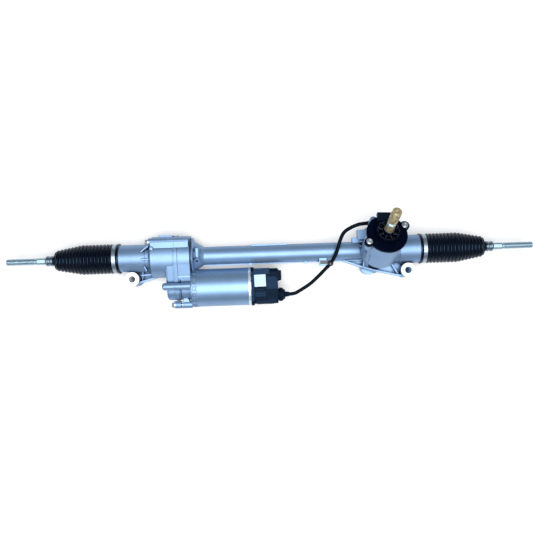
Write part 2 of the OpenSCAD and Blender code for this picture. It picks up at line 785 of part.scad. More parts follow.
module case_bolts() {
    color([0.72, 0.74, 0.76]) rack_frame() for (p = case_bolt_spots)
        translate([case_bolt_x0, p[0], p[1]]) flange_bolt(case_x - 10 - case_bolt_x0, 4, 6.2);
}

module motor_bolts() {
    color([0.72, 0.74, 0.76]) motor_frame() {
        for (i = [0:2]) let (a = motor_bolt_angles[i], x = [belt_left - 1, low_bolt_x0, split_x + 4][i])
            translate([x, -motor_bolt_circle * sin(a), motor_bolt_circle * cos(a)]) {
                if (i == 0) x_cyl(0, case_x + 10 - x, 3.5);
                else flange_bolt(case_x + 10 - x, 3.5, 6.4);
            }
    }
}

// Motor ----------------------------------------------------------------------

castle_count = 18;

module motor_flange() {
    color([0.7, 0.73, 0.76]) motor_frame() difference() {
        union() {
            x_cyl(cavity_x1, case_x + cut, spigot_r);
            x_cyl(case_x, flange_x0 + cut, flange_r - 2);
            x_cyl(flange_x0, flange_x1, flange_r);
            x_cyl(flange_x1 - cut, flange_x1 + 6, motor_r - can_wall - seat_gap);
        }
        x_cyl(cavity_x1 - cut, flange_x1 + 8, motor_shaft_r + 3);
        x_cyl(case_x + 5, flange_x1 + 8, front_bearing_r + seat_gap);
        motor_ear_holes(case_x - cut, case_x + 10, 3.5 + seat_gap, motor_bolt_angles);
        // castellations round the rim
        for (i = [0:castle_count - 1]) rotate([i * 360 / castle_count, 0, 0])
            translate([flange_x0 + 2, -3.7, flange_r - 1.3]) cube([flange_w - 4, 7.4, 4]);
    }
}

module motor_can() {
    color([0.75, 0.78, 0.81]) motor_frame() x_ring(flange_x1, can_x1, motor_r, motor_r - can_wall);
}

module motor_end_ring() {
    color([0.8, 0.82, 0.84]) motor_frame() difference() {
        union() {
            x_cyl(can_x1, ecu_x0, flange_r);
            x_cyl(can_x1 - 3, can_x1 + cut, motor_r - can_wall - seat_gap);
            x_cyl(can_x1 - 10, can_x1, rear_bearing_r + 4);
        }
        x_cyl(can_x1 - 11, can_x1 + 1, rear_bearing_r + seat_gap);
        x_cyl(can_x1, ecu_x0 + cut, motor_shaft_r + 2);
    }
}

module stator() {
    color([0.72, 0.45, 0.3]) motor_frame() difference() {
        x_cyl(rotor_x0 - 3, rotor_x0 + rotor_len + 3, motor_r - can_wall - seat_gap);
        x_cyl(rotor_x0 - 4, rotor_x0 + rotor_len + 4, rotor_r + 0.6);
        // slots of the windings
        for (i = [0:11]) rotate([i * 30, 0, 0])
            translate([rotor_x0 - 4, -2, rotor_r + 4]) cube([rotor_len + 8, 4, 9]);
    }
}

module motor_bearings() {
    color([0.7, 0.72, 0.74]) motor_frame() {
        x_ring(case_x + 5, case_x + 5 + bearing_w, front_bearing_r, motor_shaft_r + run_gap);
        x_ring(can_x1 - bearing_w, can_x1, rear_bearing_r, motor_shaft_r + run_gap);
    }
}

module motor_shaft() {
    color([0.66, 0.68, 0.7]) motor_frame() x_cyl(belt_x0 - 3, can_x1 + 2, motor_shaft_r);
}

module rotor_core() {
    color([0.35, 0.36, 0.38]) motor_frame() difference() {
        x_cyl(rotor_x0, rotor_x0 + rotor_len, rotor_r);
        x_cyl(rotor_x0 - cut, rotor_x0 + rotor_len + cut, motor_shaft_r + seat_gap);
        // flats between the magnets
        for (i = [0:7]) rotate([i * 45, 0, 0])
            translate([rotor_x0 - cut, -1, rotor_r - 1.6]) cube([rotor_len + 2 * cut, 2, 3]);
    }
}

// Belt drive -----------------------------------------------------------------

// Toothed rim of a pulley as a polygon of trapezoid teeth
function pulley_line(r, teeth, depth) =
    [for (i = [0:teeth - 1], k = [0:3])
        let (a = (i + [0.02, 0.3, 0.42, 0.9][k]) * 360 / teeth, q = k == 1 || k == 2 ? r - depth : r)
        q * [cos(a), sin(a)]];

module pulley(r, teeth, bore, x0, x1) {
    difference() {
        union() {
            x_extrude(x0, x1) polygon(pulley_line(r, teeth, 1));
            // flanges that keep the belt on
            for (x = [x0 - 1.2, x1]) x_cyl(x, x + 1.2, r + belt_t);
        }
        x_cyl(x0 - 2 * cut, x1 + 2 * cut, bore);
    }
}

module nut_pulley() {
    color([0.62, 0.64, 0.66]) rack_frame()
        pulley(nut_pulley_r - 0.4, nut_pulley_teeth, nut_r + seat_gap, belt_x0 - 0.4, belt_x1 + 0.4);
}

module motor_pulley() {
    color([0.62, 0.64, 0.66]) motor_frame()
        pulley(motor_pulley_r - 0.4, motor_pulley_teeth, motor_shaft_r + seat_gap,
               belt_x0 - 0.4, belt_x1 + 0.4);
}

module drive_belt() {
    color([0.12, 0.12, 0.12]) rack_frame() x_extrude(belt_x0, belt_x1) difference() {
        polygon(belt_line(nut_pulley_r + belt_t, motor_pulley_r + belt_t, belt_centres));
        polygon(belt_line(nut_pulley_r, motor_pulley_r, belt_centres));
    }
}

// Ball nut ----------------------------------------------------------------------

module ball_nut() {
    color([0.55, 0.57, 0.6]) rack_frame() difference() {
        union() {
            x_cyl(nut_x0, nut_x1, nut_r);
            // collar against the bearing's inner ring
            x_cyl(nut_bearing_x1, nut_bearing_x1 + 2, nut_r + 3);
        }
        x_cyl(nut_x0 - cut, nut_x1 + cut, rack_r + 0.4);
        // ball return, sunk into the nut's side
        for (x = [nut_x0 + 4, nut_bearing_x1 - 8]) translate([x, 0, nut_r - 3.2]) cylinder(h = 5, r = 2.6);
    }
}

module nut_bearing_outer() {
    color([0.7, 0.72, 0.74]) rack_frame() difference() {
        x_ring(nut_bearing_x0, nut_bearing_x1, nut_bearing_r, bearing_pitch_r + 1.8);
        translate([(nut_bearing_x0 + nut_bearing_x1) / 2, 0, 0]) rotate([0, 90, 0])
            rotate_extrude() translate([bearing_pitch_r, 0]) circle(r = bearing_ball_r + run_gap);
    }
}

module nut_bearing_inner() {
    color([0.7, 0.72, 0.74]) rack_frame() difference() {
        x_ring(nut_bearing_x0, nut_bearing_x1, bearing_pitch_r - 1.8, nut_r + seat_gap);
        translate([(nut_bearing_x0 + nut_bearing_x1) / 2, 0, 0]) rotate([0, 90, 0])
            rotate_extrude() translate([bearing_pitch_r, 0]) circle(r = bearing_ball_r + run_gap);
    }
}

module nut_bearing_balls() {
    color([0.8, 0.82, 0.84]) rack_frame() for (i = [0:bearing_balls - 1])
        rotate([i * 360 / bearing_balls, 0, 0])
            translate([(nut_bearing_x0 + nut_bearing_x1) / 2, 0, bearing_pitch_r])
                sphere(r = bearing_ball_r, $fn = 24);
}

// Control unit ---------------------------------------------------------------

// Bars and blocks on the control unit's top: ends along the rack from its flange
// end, front edge and width across from the motor axis, and height
upper_bars = [[8, 27, -8, 2, 1.6], [8, 31, -22, 11, 1.5], [9.5, 29.5, -16.6, 1.8, 2.8],
              [9.5, 29.5, -21.2, 1.4, 2.9], [37, 55, -29.4, 1.6, 2], [11, 53, -37.6, 6.6, 1.2]];

module ecu_case() {
    floor_x = ecu_x1 - ecu_wall;
    color([0.07, 0.08, 0.1]) motor_frame() difference() {
        union() {
            // flange against the motor
            x_extrude(ecu_x0, ecu_x0 + ecu_flange_w) polygon(round_rect(ecu_w + 7, ecu_h + 6, 16));
            x_extrude(ecu_x0, ecu_x1) polygon(round_rect(ecu_w, ecu_h, 9));
            // raised block over the harness connector, with a bar along it
            translate([ecu_x0 + ecu_flange_w, ecu_w / 2 - 12, ecu_h / 2 - 6]) cube([34, 13, 10]);
            translate([ecu_x0 + ecu_flange_w + 2, ecu_w / 2 - 8, ecu_h / 2 + 3]) cube([30, 3, 2.2]);
            // raised deck beside the label
            translate([0, 0, ecu_h / 2 - cut]) linear_extrude(height = 3)
                polygon([[ecu_x0 + 33, -6], [ecu_x1 - 1.5, -6], [ecu_x1 - 1.5, 15], [ecu_x1 - 7, 20.5],
                         [ecu_x0 + 33, 20.5]]);
            // bars and blocks on the front half
            for (b = upper_bars)
                translate([ecu_x0 + b[0], b[2], ecu_h / 2 - cut]) cube([b[1] - b[0], b[3], cut + b[4]]);
            // ribs on the front wall
            for (z = [-18, -4, 10]) translate([ecu_x0 + 12, -ecu_w / 2 - 1.5, z]) cube([36, 3, 4]);
        }
        x_extrude(ecu_x0 - cut, floor_x) polygon(round_rect(ecu_w - 2 * ecu_wall, ecu_h - 2 * ecu_wall, 6));
        // opening of the harness connector
        translate([floor_x - cut, socket_y - socket_w / 2 - seat_gap, socket_z - socket_h / 2 - seat_gap])
            cube([ecu_wall + 2 * cut, socket_w + 2 * seat_gap, socket_h + 2 * seat_gap]);
        // opening of the sensor plug
        translate([0, plug_y, plug_z]) x_cyl(floor_x - cut, ecu_x1 + cut, plug_nose_r + seat_gap);
        // screw slot in the upper deck
        translate([ecu_x1 - 21, -18.5, ecu_h / 2 - 1.5]) cube([17, 3, 6]);
        // notches of the flange's teeth
        for (i = [0:6]) translate([ecu_x0 - cut, -ecu_w / 2 + 3 + i * 11.4, ecu_h / 2 + 1.4])
            cube([ecu_flange_w - 1, 4, 4]);
    }
    // posts of the circuit board
    color([0.07, 0.08, 0.1]) motor_frame() for (y = [-1, 1], z = [-1, 1])
        translate([0, y * (ecu_w / 2 - 11), z * (ecu_h / 2 - 11)]) x_cyl(ecu_x0 + 18, floor_x + cut / 2, 3);
}

module circuit_board() {
    color([0.1, 0.35, 0.2]) motor_frame() difference() {
        x_extrude(ecu_x0 + 16.4, ecu_x0 + 18)
            polygon(round_rect(ecu_w - 2 * ecu_wall - 2, ecu_h - 2 * ecu_wall - 2, 5));
        x_cyl(ecu_x0 + 15, ecu_x0 + 20, motor_shaft_r + 4);
    }
}

module ecu_connector() {
    color([0.05, 0.06, 0.08]) motor_frame() translate([0, socket_y, socket_z]) difference() {
        union() {
            x_extrude(ecu_x1 - socket_in, ecu_x1 + socket_out) polygon(round_rect(socket_w, socket_h, 2));
            x_extrude(ecu_x1, ecu_x1 + 2.5) polygon(round_rect(socket_w + 5, socket_h + 4, 3));
            // latch on the front side
            translate([ecu_x1, -socket_w / 2 - 1.4, -4]) cube([socket_out - 1, 2, 8]);
        }
        x_extrude(ecu_x1 - socket_in + 3, ecu_x1 + socket_out + cut)
            polygon(round_rect(socket_w - 2 * socket_wall, socket_h - 2 * socket_wall, 1.2));
        for (y = [-5, 0, 5], z = [-8, -3, 3, 8]) translate([ecu_x1 - socket_in - cut, y - 0.8, z - 0.8])
            cube([6, 1.6, 1.6]);
    }
}

module ecu_terminals() {
    color([0.85, 0.7, 0.35]) motor_frame() translate([0, socket_y, socket_z])
        for (y = [-5, 0, 5], z = [-8, -3, 3, 8])
            translate([ecu_x1 - socket_in - 3, y - 0.8, z - 0.8]) cube([12, 1.6, 1.6]);
}

// Round plug of the sensor cable in the control unit's end
module motor_plug() {
    color([0.04, 0.05, 0.07]) motor_frame() translate([0, plug_y, plug_z]) {
        x_turned([[ecu_x1 - 8, 0], [ecu_x1 - 8, plug_nose_r], [ecu_x1, plug_nose_r], [ecu_x1, plug_r - 2],
                  [ecu_x1 + 1.5, plug_r], [ecu_x1 + 10, plug_r], [ecu_x1 + plug_len - 2, plug_r - 3.4],
                  [ecu_x1 + plug_len, plug_r - 4.6], [ecu_x1 + plug_len, 0]]);
        // grip ribs
        for (i = [0:11]) rotate([i * 30, 0, 0])
            translate([ecu_x1 + 2.5, -1, plug_r - 1]) cube([6.5, 2, 1.8]);
    }
}

module plug_relief() {
    color([0.04, 0.05, 0.07]) motor_frame() translate([0, plug_y, plug_z])
        translate([ecu_x1 + plug_len, 0, 0])
            x_turned([[0, 0], [0, cable_d / 2 + 2.4], [2, cable_d / 2 + 1.4], [4, cable_d / 2 + 2],
                      [6, cable_d / 2 + 1.2], [relief_len, cable_d / 2 + 0.6], [relief_len, 0]]);
}

// Sensor cable -----------------------------------------------------------------

// Point on the smooth curve through the route, at whole and half stations
function on_route(t) =
    let (n = len(cable_route), i = min(floor(t), n - 2), f = t - i,
         p0 = cable_route[max(i - 1, 0)], p1 = cable_route[i],
         p2 = cable_route[i + 1], p3 = cable_route[min(i + 2, n - 1)])
    0.5 * (2 * p1 + (p2 - p0) * f + (2 * p0 - 5 * p1 + 4 * p2 - p3) * f * f
           + (3 * p1 - p0 - 3 * p2 + p3) * f * f * f);

// Ring of the cable's surface at one station
function cable_ring(t, r) =
    let (n = len(cable_route) - 1, d = unit(on_route(min(t + 0.05, n)) - on_route(max(t - 0.05, 0))),
         u = unit(cross([0, 0, 1], d)), v = cross(d, u))
    [for (k = [0:cable_sides - 1]) let (a = k * 360 / cable_sides)
        on_route(t) + r * (u * cos(a) + v * sin(a))];

module sensor_cable() {
    stations = [for (t = [0:0.5:len(cable_route) - 1]) t];
    rings = len(stations);
    m = cable_sides;
    points = [for (t = stations) each cable_ring(t, cable_d / 2)];
    sides = [for (i = [0:rings - 2], k = [0:m - 1])
        let (a = i * m + k, b = i * m + (k + 1) % m) [a + m, b + m, b, a]];
    ends = [[for (k = [0:m - 1]) k], [for (k = [m - 1:-1:0]) (rings - 1) * m + k]];
    color([0.05, 0.06, 0.08]) polyhedron(points, concat(sides, ends));
}

// Clip round the cable on the tube's bracket
module cable_clip() {
    at = cable_route[clip_point];
    d = unit(on_route(clip_point + 0.1) - on_route(clip_point - 0.1));
    color([0.2, 0.22, 0.25]) difference() {
        union() {
            translate(at) rotate([0, acos(d[2]), atan2(d[1], d[0])])
                translate([0, 0, -3]) cylinder(h = 6, r = cable_d / 2 + 2);
            translate([bracket_x + 2, at[1] - 1, axis_z + bracket_top])
                cube([at[0] - bracket_x - 5, 8, 1.6]);
        }
        translate(at) rotate([0, acos(d[2]), atan2(d[1], d[0])])
            translate([0, 0, -4]) cylinder(h = 8, r = cable_d / 2 + soft_gap);
    }
}

// Plug of the cable at the sensor, under the cap's edge
module sensor_plug() {
    color([0.05, 0.06, 0.08]) pinion_frame() translate([0, sensor_plug_y, sensor_plug_z]) union() {
        x_extrude(sensor_plug_x + 5, sensor_plug_x + 16) polygon(round_rect(12, 15, 2));
        x_cone(sensor_plug_x, sensor_plug_x + 5.5, cable_d / 2 + 0.6, cable_d / 2 + 1.8);
    }
}

// Connector of the torque sensor: a block on the cap and a socket under its edge
module sensor_connector() {
    x0 = sensor_plug_x + 16;
    color([0.05, 0.06, 0.08]) pinion_frame() union() {
        translate([-18, cup_r + 0.5, cap_top]) cube([30.7, cap_r - cup_r + 2, 10]);
        translate([-15, cup_r + 3.5, cap_top + 9]) cube([24.7, cap_r - cup_r - 5, 2]);
        translate([-12, cup_r + 6, cap_top + 10.5]) cube([18.7, 3, 2]);
        translate([x0, cap_r + soft_gap, sensor_plug_z - 9])
            cube([22, 3.6, cap_top - sensor_plug_z + 12]);
        translate([x0, tower_r + soft_gap, sensor_plug_z - 9]) cube([22, 11.4, 22]);
    }
}

// Cap of the torque sensor ---------------------------------------------------------

module sensor_cap() {
    color([0.04, 0.05, 0.07]) pinion_frame() difference() {
        union() {
            translate([0, 0, tower_top]) cylinder(h = cap_t, r = cap_r);
            // spigot in the tower
            translate([0, 0, tower_top - 6]) cylinder(h = 7, r = chamber_r - seat_gap);
            // ears of the screws
            for (a = [ear_angle, ear_angle + 180]) rotate([0, 0, a]) {
                translate([ear_at, 0, tower_top]) cylinder(h = cap_t + 1.5, r = ear_r);
                translate([cap_r - 12, -ear_r + 1, tower_top]) cube([13, 2 * ear_r - 2, cap_t + 1.5]);
            }
            translate([0, 0, tower_top]) cylinder(h = cap_t + cup_h, r = cup_r);
        }
        // space in the cup
        translate([0, 0, cap_top - 1]) cylinder(h = cup_h + 2, r = cup_r - cup_wall);
        translate([0, 0, tower_top - 7]) cylinder(h = 10, r = chamber_r - 4);
        for (a = [ear_angle, ear_angle + 180]) rotate([0, 0, a])
            translate([ear_at, 0, tower_top - cut]) cylinder(h = cap_t + 4, r = 3 + seat_gap);
        translate([0, 0, tower_top]) cylinder(h = hub_top, r = hub_bore_r);
    }
    color([0.04, 0.05, 0.07]) pinion_frame() difference() {
        union() {
            translate([0, 0, tower_top + 2.5]) cylinder(h = cup_top - tower_top - 2.5, r = hub_r);
            translate([0, 0, cup_top]) cylinder(h = hub_top - cup_top, r1 = hub_r, r2 = hub_r - 1.2);
            // spokes of the cup
            for (i = [0:7]) rotate([0, 0, i * 45 + 22.5])
                translate([hub_r - 1, -1, cap_top - 1.5]) cube([cup_r - hub_r - 1, 2, cup_h - 2]);
        }
        translate([0, 0, tower_top]) cylinder(h = hub_top, r = hub_bore_r);
        translate([0, 0, tower_top]) cylinder(h = seal_z0 + seal_w - tower_top, r = hub_r - 1.4);
    }
}

module shaft_seal() {
    color([0.15, 0.15, 0.16]) pinion_frame()
        z_ring(seal_z0, seal_z0 + seal_w, hub_r - 1.4 - seat_gap, shaft_r + run_gap);
}

module cap_screws() {
    color([0.78, 0.8, 0.83]) pinion_frame() for (a = [ear_angle, ear_angle + 180]) rotate([0, 0, a])
        translate([ear_at, 0, cap_top + 1.5]) difference() {
            union() {
                cylinder(h = 1.6, r = screw_r);
                translate([0, 0, 1.5]) cylinder(h = 4, r1 = screw_r - 1.6, r2 = screw_r - 2.2);
                translate([0, 0, -13]) cylinder(h = 13.5, r = 2.5);
            }
            translate([0, 0, 3.2]) cylinder(h = 4, r = 2.4, $fn = 6);
        }
}

// Rack bar and its ends -----------------------------------------------------------

// Half width of a tooth space at a distance from the pinion axis
function space_half(d) = PI * gear_m / 4 + (line_r - d) * tan(pressure_angle) + flank_gap;

module rack_bar() {
    color([0.6, 0.62, 0.65]) rack_frame() difference() {
        union() {
            x_cyl(-socket_x0, socket_x0, rack_r);
            x_cyl(-socket_x0 - stud_len, socket_x0 + stud_len, stud_r);
        }
        translate([pinion_x, 0, 0]) rotate([-tilt, 0, 0]) {
            rotate([0, lean, 0]) translate([-(side_spaces + 0.5) * PI * gear_m, -rack_r - 2, -30])
                cube([(2 * side_spaces + 1) * PI * gear_m, rack_r + 2 - tooth_flat, 60]);
            for (i = [-side_spaces:side_spaces])
                translate([i * pitch_x, -pinion_offset, 0]) rotate([0, lean, 0])
                    linear_extrude(height = 50, center = true)
                        polygon([[-space_half(rack_tip - 1), rack_tip - 1],
                                 [-space_half(rack_root), rack_root], [space_half(rack_root), rack_root],
                                 [space_half(rack_tip - 1), rack_tip - 1]]);
        }
    }
}

module rack_bush() {
    color([0.25, 0.26, 0.28]) rack_frame() x_ring(bush_x0, stop_x - stop_w, bush_r, rack_r + run_gap);
}

module ball_socket() {
    difference() {
        union() {
            x_cyl(socket_x0, socket_x1 - 3, socket_r);
            x_cone(socket_x1 - 3, socket_x1, socket_r, socket_r - 2);
        }
        x_cyl(socket_x0 - cut, socket_x0 + stud_len + 0.2, stud_r + seat_gap);
        translate([ball_x, 0, 0]) x_ball(cavity_r);
        translate([ball_x, 0, 0])
            x_cone(mouth_x - 3, socket_x1 - ball_x + cut, mouth_r - 3 * tan(28),
                   mouth_r + (socket_x1 - ball_x + cut - mouth_x) * tan(28));
        // flats for a spanner
        for (s = [-1, 1]) translate([socket_x0 + 3, -socket_r, s * (socket_r + 3.5) - 5])
            cube([9, 2 * socket_r, 10]);
    }
}

module ball_seat() {
    translate([ball_x, 0, 0]) difference() {
        x_ball(ball_r + run_gap + seat_t);
        x_ball(ball_r + run_gap);
        x_cone(0, mouth_x + 10, 0, (mouth_x + 10) * tan(mouth_angle));
        // grease hole
        x_cyl(-cavity_r - cut, 0, 2.5);
    }
}

module tie_rod() {
    neck_x0 = ball_x + ball_r - 4;
    flat_x0 = neck_x + neck_len + 1.5;
    flat_x1 = thread_x - 3;
    difference() {
        union() {
            translate([ball_x, 0, 0]) x_ball(ball_r);
            x_cyl(neck_x0, ball_x + 22, neck_r);
            x_cone(ball_x + 21.9, ball_x + 30, neck_r, rod_r);
            x_cyl(ball_x + 29.9, thread_x - 2, rod_r);
            x_cone(thread_x - 2.01, thread_x, rod_r, thread_r);
            x_cyl(thread_x - cut, thread_x + thread_len - 1.5, thread_r);
            x_cone(thread_x + thread_len - 1.51, thread_x + thread_len, thread_r, thread_r - 1.5);
        }
        // flats for a spanner
        for (s = [-1, 1]) translate([flat_x0, -rod_r - 2, s * (rod_r + 4.1) - 5])
            cube([flat_x1 - flat_x0, 2 * rod_r + 4, 10]);
    }
}

module boot_clip() {
    r = boot_neck_r + soft_gap;
    x_turned([[clip_x0, r], [clip_x0, r + 0.7], [clip_x0 + 1.4, r + 1.7], [clip_x0 + 4.6, r + 1.7],
              [clip_x0 + 6, r + 0.8], [clip_x0 + clip_w - 6, r + 0.8], [clip_x0 + clip_w - 4.6, r + 1.7],
              [clip_x0 + clip_w - 1.4, r + 1.7], [clip_x0 + clip_w, r + 0.7], [clip_x0 + clip_w, r]]);
}

// Boots ------------------------------------------------------------------------------

// Radius of the folds' crests at x
function crest_r(x) =
    let (t = (x - fold_x0) / fold_len)
    t < fold_straight ? boot_r : boot_r + (boot_end_r - boot_r) * (t - fold_straight) / (1 - fold_straight);

// Outer radius of the folded part at x
function fold_r(x) =
    crest_r(x) - fold_depth * (1 + cos(360 * (x - fold_x0) * boot_folds / fold_len)) / 2;

module boot() {
    steps = boot_folds * 6;
    folds = [for (i = [0:steps]) let (x = fold_x0 + i * fold_len / steps) [x, fold_r(x)]];
    seat = cuff_seat_r + seat_gap;
    outer = concat(
        [[cuff_x, seat], [cuff_x, lip_r - 1.5], [cuff_x + 1.5, lip_r], [band_x0 - 2, lip_r],
         [band_x0 - 0.8, lip_r - 1.2], [band_x0 - 0.4, boot_r - 2], [band_x0 + band_w + 0.3, boot_r - 2]],
        folds,
        [[fold_x1 + 1.2, boot_end_r - 1.6], [fold_x1 + 3.2, boot_end_r - 6],
         [fold_x1 + 4.4, boot_end_r - 10.2], [neck_x, boot_neck_r], [neck_x + neck_len, boot_neck_r]]);
    inner = concat(
        [[neck_x + neck_len, rod_r + soft_gap], [neck_x - 2, rod_r + soft_gap],
         [fold_x1 + 2, boot_end_r - 8.4], [fold_x1 + 0.6, boot_end_r - 4.6]],
        [for (i = [steps:-1:1]) [folds[i][0], folds[i][1] - boot_wall]],
        [[house_half + 0.5, seat]]);
    x_turned(concat(outer, inner));
}

module boot_band() {
    r = boot_r - 2 + seat_gap;
    union() {
        x_ring(band_x0, band_x0 + band_w, r + band_t, r);
        // crimped ear of the band
        rotate([200, 0, 0]) translate([band_x0 + 1, -3, r + band_t / 2]) cube([band_w - 2, 6, 3]);
    }
}

module stop_ring() {
    x_turned([[stop_x - stop_w + 0.01, tube_bore_r], [stop_x - stop_w + 0.01, end_bore_r - seat_gap],
              [stop_x - 1, end_bore_r - seat_gap], [stop_x, end_bore_r - 3], [stop_x, tube_bore_r + 1]]);
}

module left_socket() { color([0.66, 0.68, 0.7]) at_side(-1) ball_socket(); }
module right_socket() { color([0.66, 0.68, 0.7]) at_side(1) ball_socket(); }
module left_ball_seat() { color([0.9, 0.88, 0.8]) at_side(-1) ball_seat(); }
module right_ball_seat() { color([0.9, 0.88, 0.8]) at_side(1) ball_seat(); }
module left_tie_rod() { color([0.78, 0.8, 0.82]) at_side(-1) tie_rod(); }
module right_tie_rod() { color([0.78, 0.8, 0.82]) at_side(1) tie_rod(); }
module left_boot_clip() { color([0.8, 0.82, 0.84]) at_side(-1) boot_clip(); }
module right_boot_clip() { color([0.8, 0.82, 0.84]) at_side(1) boot_clip(); }
module left_boot() { color([0.06, 0.07, 0.1]) at_side(-1) boot(); }
module right_boot() { color([0.06, 0.07, 0.1]) at_side(1) boot(); }
module left_boot_band() { color([0.75, 0.78, 0.81]) at_side(-1) boot_band(); }
module right_boot_band() { color([0.75, 0.78, 0.81]) at_side(1) boot_band(); }
module left_stop_ring() { color([0.2, 0.2, 0.22]) at_side(-1) stop_ring(); }
module right_stop_ring() { color([0.2, 0.2, 0.22]) at_side(1) stop_ring(); }

// Pinion, torsion bar and input shaft ---------------------------------------------------

// Half angle of a pinion tooth at radius r, on the involute of the base circle
function involute(r) = r <= base_r ? 0 : tan(acos(base_r / r)) - acos(base_r / r) * PI / 180;
function tooth_half(r) =
    let (s = PI / 2 + 2 * shift * tan(pressure_angle))
    (s / pinion_teeth + involute(pitch_r) - involute(r)) * 180 / PI;

flank_steps = 7;

function polar(r, a) = r * [cos(a), sin(a)];

function pinion_outline() =
    let (r0 = max(base_r, root_r) + 0.01, step = (tip_r - r0) / flank_steps)
    [for (i = [0:pinion_teeth - 1])
        let (mid = 90 + i * 360 / pinion_teeth)
        each concat(
            [polar(root_r, mid - tooth_half(r0))],
            [for (k = [0:flank_steps]) let (r = r0 + k * step) polar(r, mid - tooth_half(r))],
            [for (k = [flank_steps:-1:0]) let (r = r0 + k * step) polar(r, mid + tooth_half(r))],
            [polar(root_r, mid + tooth_half(r0))])];

// Round bar with two flats, half the distance between the flats given
module flatted(h, r, half) {
    intersection() {
        cylinder(h = h, r = r);
        translate([-half, -r - 1, 0]) cube([2 * half, 2 * r + 2, h]);
    }
}

module pinion() {
    color([0.62, 0.64, 0.67]) pinion_frame() difference() {
        union() {
            z_cyl(lower_bearing_z0, 0.01 - tooth_face / 2, lower_journal_r);
            translate([0, 0, -tooth_face / 2]) linear_extrude(height = tooth_face) polygon(pinion_outline());
            z_cyl(tooth_face / 2 - 0.01, upper_bearing_z0 + 1.01, root_r);
            z_cyl(upper_bearing_z0 + 1, upper_bearing_z1 + 4, upper_journal_r);
            z_cyl(upper_bearing_z1 + 0.5, head_z1, head_r);
        }
        translate([0, 0, bar_z0]) cylinder(h = 60, r = bar_r + seat_gap);
        translate([0, 0, slot_z]) cylinder(h = 20, r = shaft_r + run_gap);
        translate([0, 0, shaft_z0 - 0.5]) flatted(10, shaft_r + run_gap, slot_half);
    }
}

module torsion_bar() {
    color([0.75, 0.76, 0.78]) pinion_frame() z_cyl(bar_z0, bar_z1, bar_r);
}

// Outline of the splined end
function spline_line() =
    [for (i = [0:spline_count - 1], k = [0:3])
        polar(k < 2 ? spline_r : spline_r - 0.7, (i + [0, 0.3, 0.5, 0.8][k]) * 360 / spline_count)];

module input_shaft() {
    color([0.72, 0.68, 0.54]) pinion_frame() difference() {
        union() {
            translate([0, 0, shaft_z0]) flatted(slot_z - shaft_z0 + 0.01, shaft_r, flat_half);
            translate([0, 0, slot_z]) cylinder(h = groove_z - slot_z, r = shaft_r);
            translate([0, 0, groove_z - 0.01]) cylinder(h = groove_w + 0.02, r = shaft_r - 1.2);
            translate([0, 0, groove_z + groove_w])
                linear_extrude(height = shaft_top - 2 - groove_z - groove_w) polygon(spline_line());
            translate([0, 0, shaft_top - 2.01]) cylinder(h = 2.01, r1 = spline_r - 0.7, r2 = spline_r - 2.2);
        }
        z_cyl(shaft_z0 - cut, bar_z1 + 1, bar_r + run_gap);
        // centre hole in the tip
        translate([0, 0, shaft_top - 4]) cylinder(h = 4 + 0.01, r1 = 0.6, r2 = 3);
    }
}

module magnet_ring() {
    color([0.3, 0.31, 0.33]) pinion_frame()
        z_ring(magnet_z0, magnet_z0 + magnet_w, magnet_r, shaft_r + seat_gap);
}

module sensor_coil() {
    color([0.65, 0.4, 0.25]) pinion_frame()
        z_ring(magnet_z0 - 2, magnet_z0 + magnet_w + 2, chamber_r - seat_gap, coil_r);
}

module pinion_lower_bearing() {
    color([0.7, 0.72, 0.74]) pinion_frame()
        z_ring(lower_bearing_z0, lower_bearing_z1, lower_bearing_r, lower_journal_r + run_gap);
}

module pinion_upper_bearing() {
    color([0.7, 0.72, 0.74]) pinion_frame()
        z_ring(upper_bearing_z0, upper_bearing_z1, upper_bearing_r, upper_journal_r + run_gap);
}

module pinion_end_plug() {
    color([0.7, 0.72, 0.74]) pinion_frame() difference() {
        translate([0, 0, boss_z0 + 1]) cylinder(h = lower_bearing_z0 - boss_z0 - 1, r = lower_bearing_r);
        translate([0, 0, boss_z0]) cylinder(h = 5, r = 5, $fn = 6);
    }
}

// Yoke ------------------------------------------------------------------------------------

module yoke() {
    color([0.6, 0.62, 0.64]) yoke_frame() difference() {
        translate([0, 0, yoke_x0 - 4]) cylinder(h = yoke_x1 - yoke_x0 + 4, r = yoke_r);
        x_cyl(-yoke_r - cut, yoke_r + cut, rack_r + run_gap);
        translate([0, 0, yoke_x1 - 8]) cylinder(h = 9, r = spring_r + 1);
    }
}

// Spring of round wire rings, stacked as a coil
module yoke_spring() {
    wire = 1.3;
    coils = 5;
    pitch = (plug_x0 - yoke_x1 + 8 - 2 * wire) / (coils - 1);
    color([0.5, 0.52, 0.55]) yoke_frame() for (i = [0:coils - 1])
        translate([0, 0, yoke_x1 - 8 + wire + i * pitch]) rotate_extrude() translate([spring_r - wire, 0])
            circle(r = wire, $fn = 16);
}

module yoke_plug() {
    color([0.7, 0.72, 0.74]) yoke_frame() difference() {
        translate([0, 0, plug_x0]) cylinder(h = yoke_len - 2 - plug_x0, r = yoke_r + run_gap - seat_gap);
        translate([0, 0, yoke_len - 7]) cylinder(h = 6, r = 7, $fn = 6);
    }
}

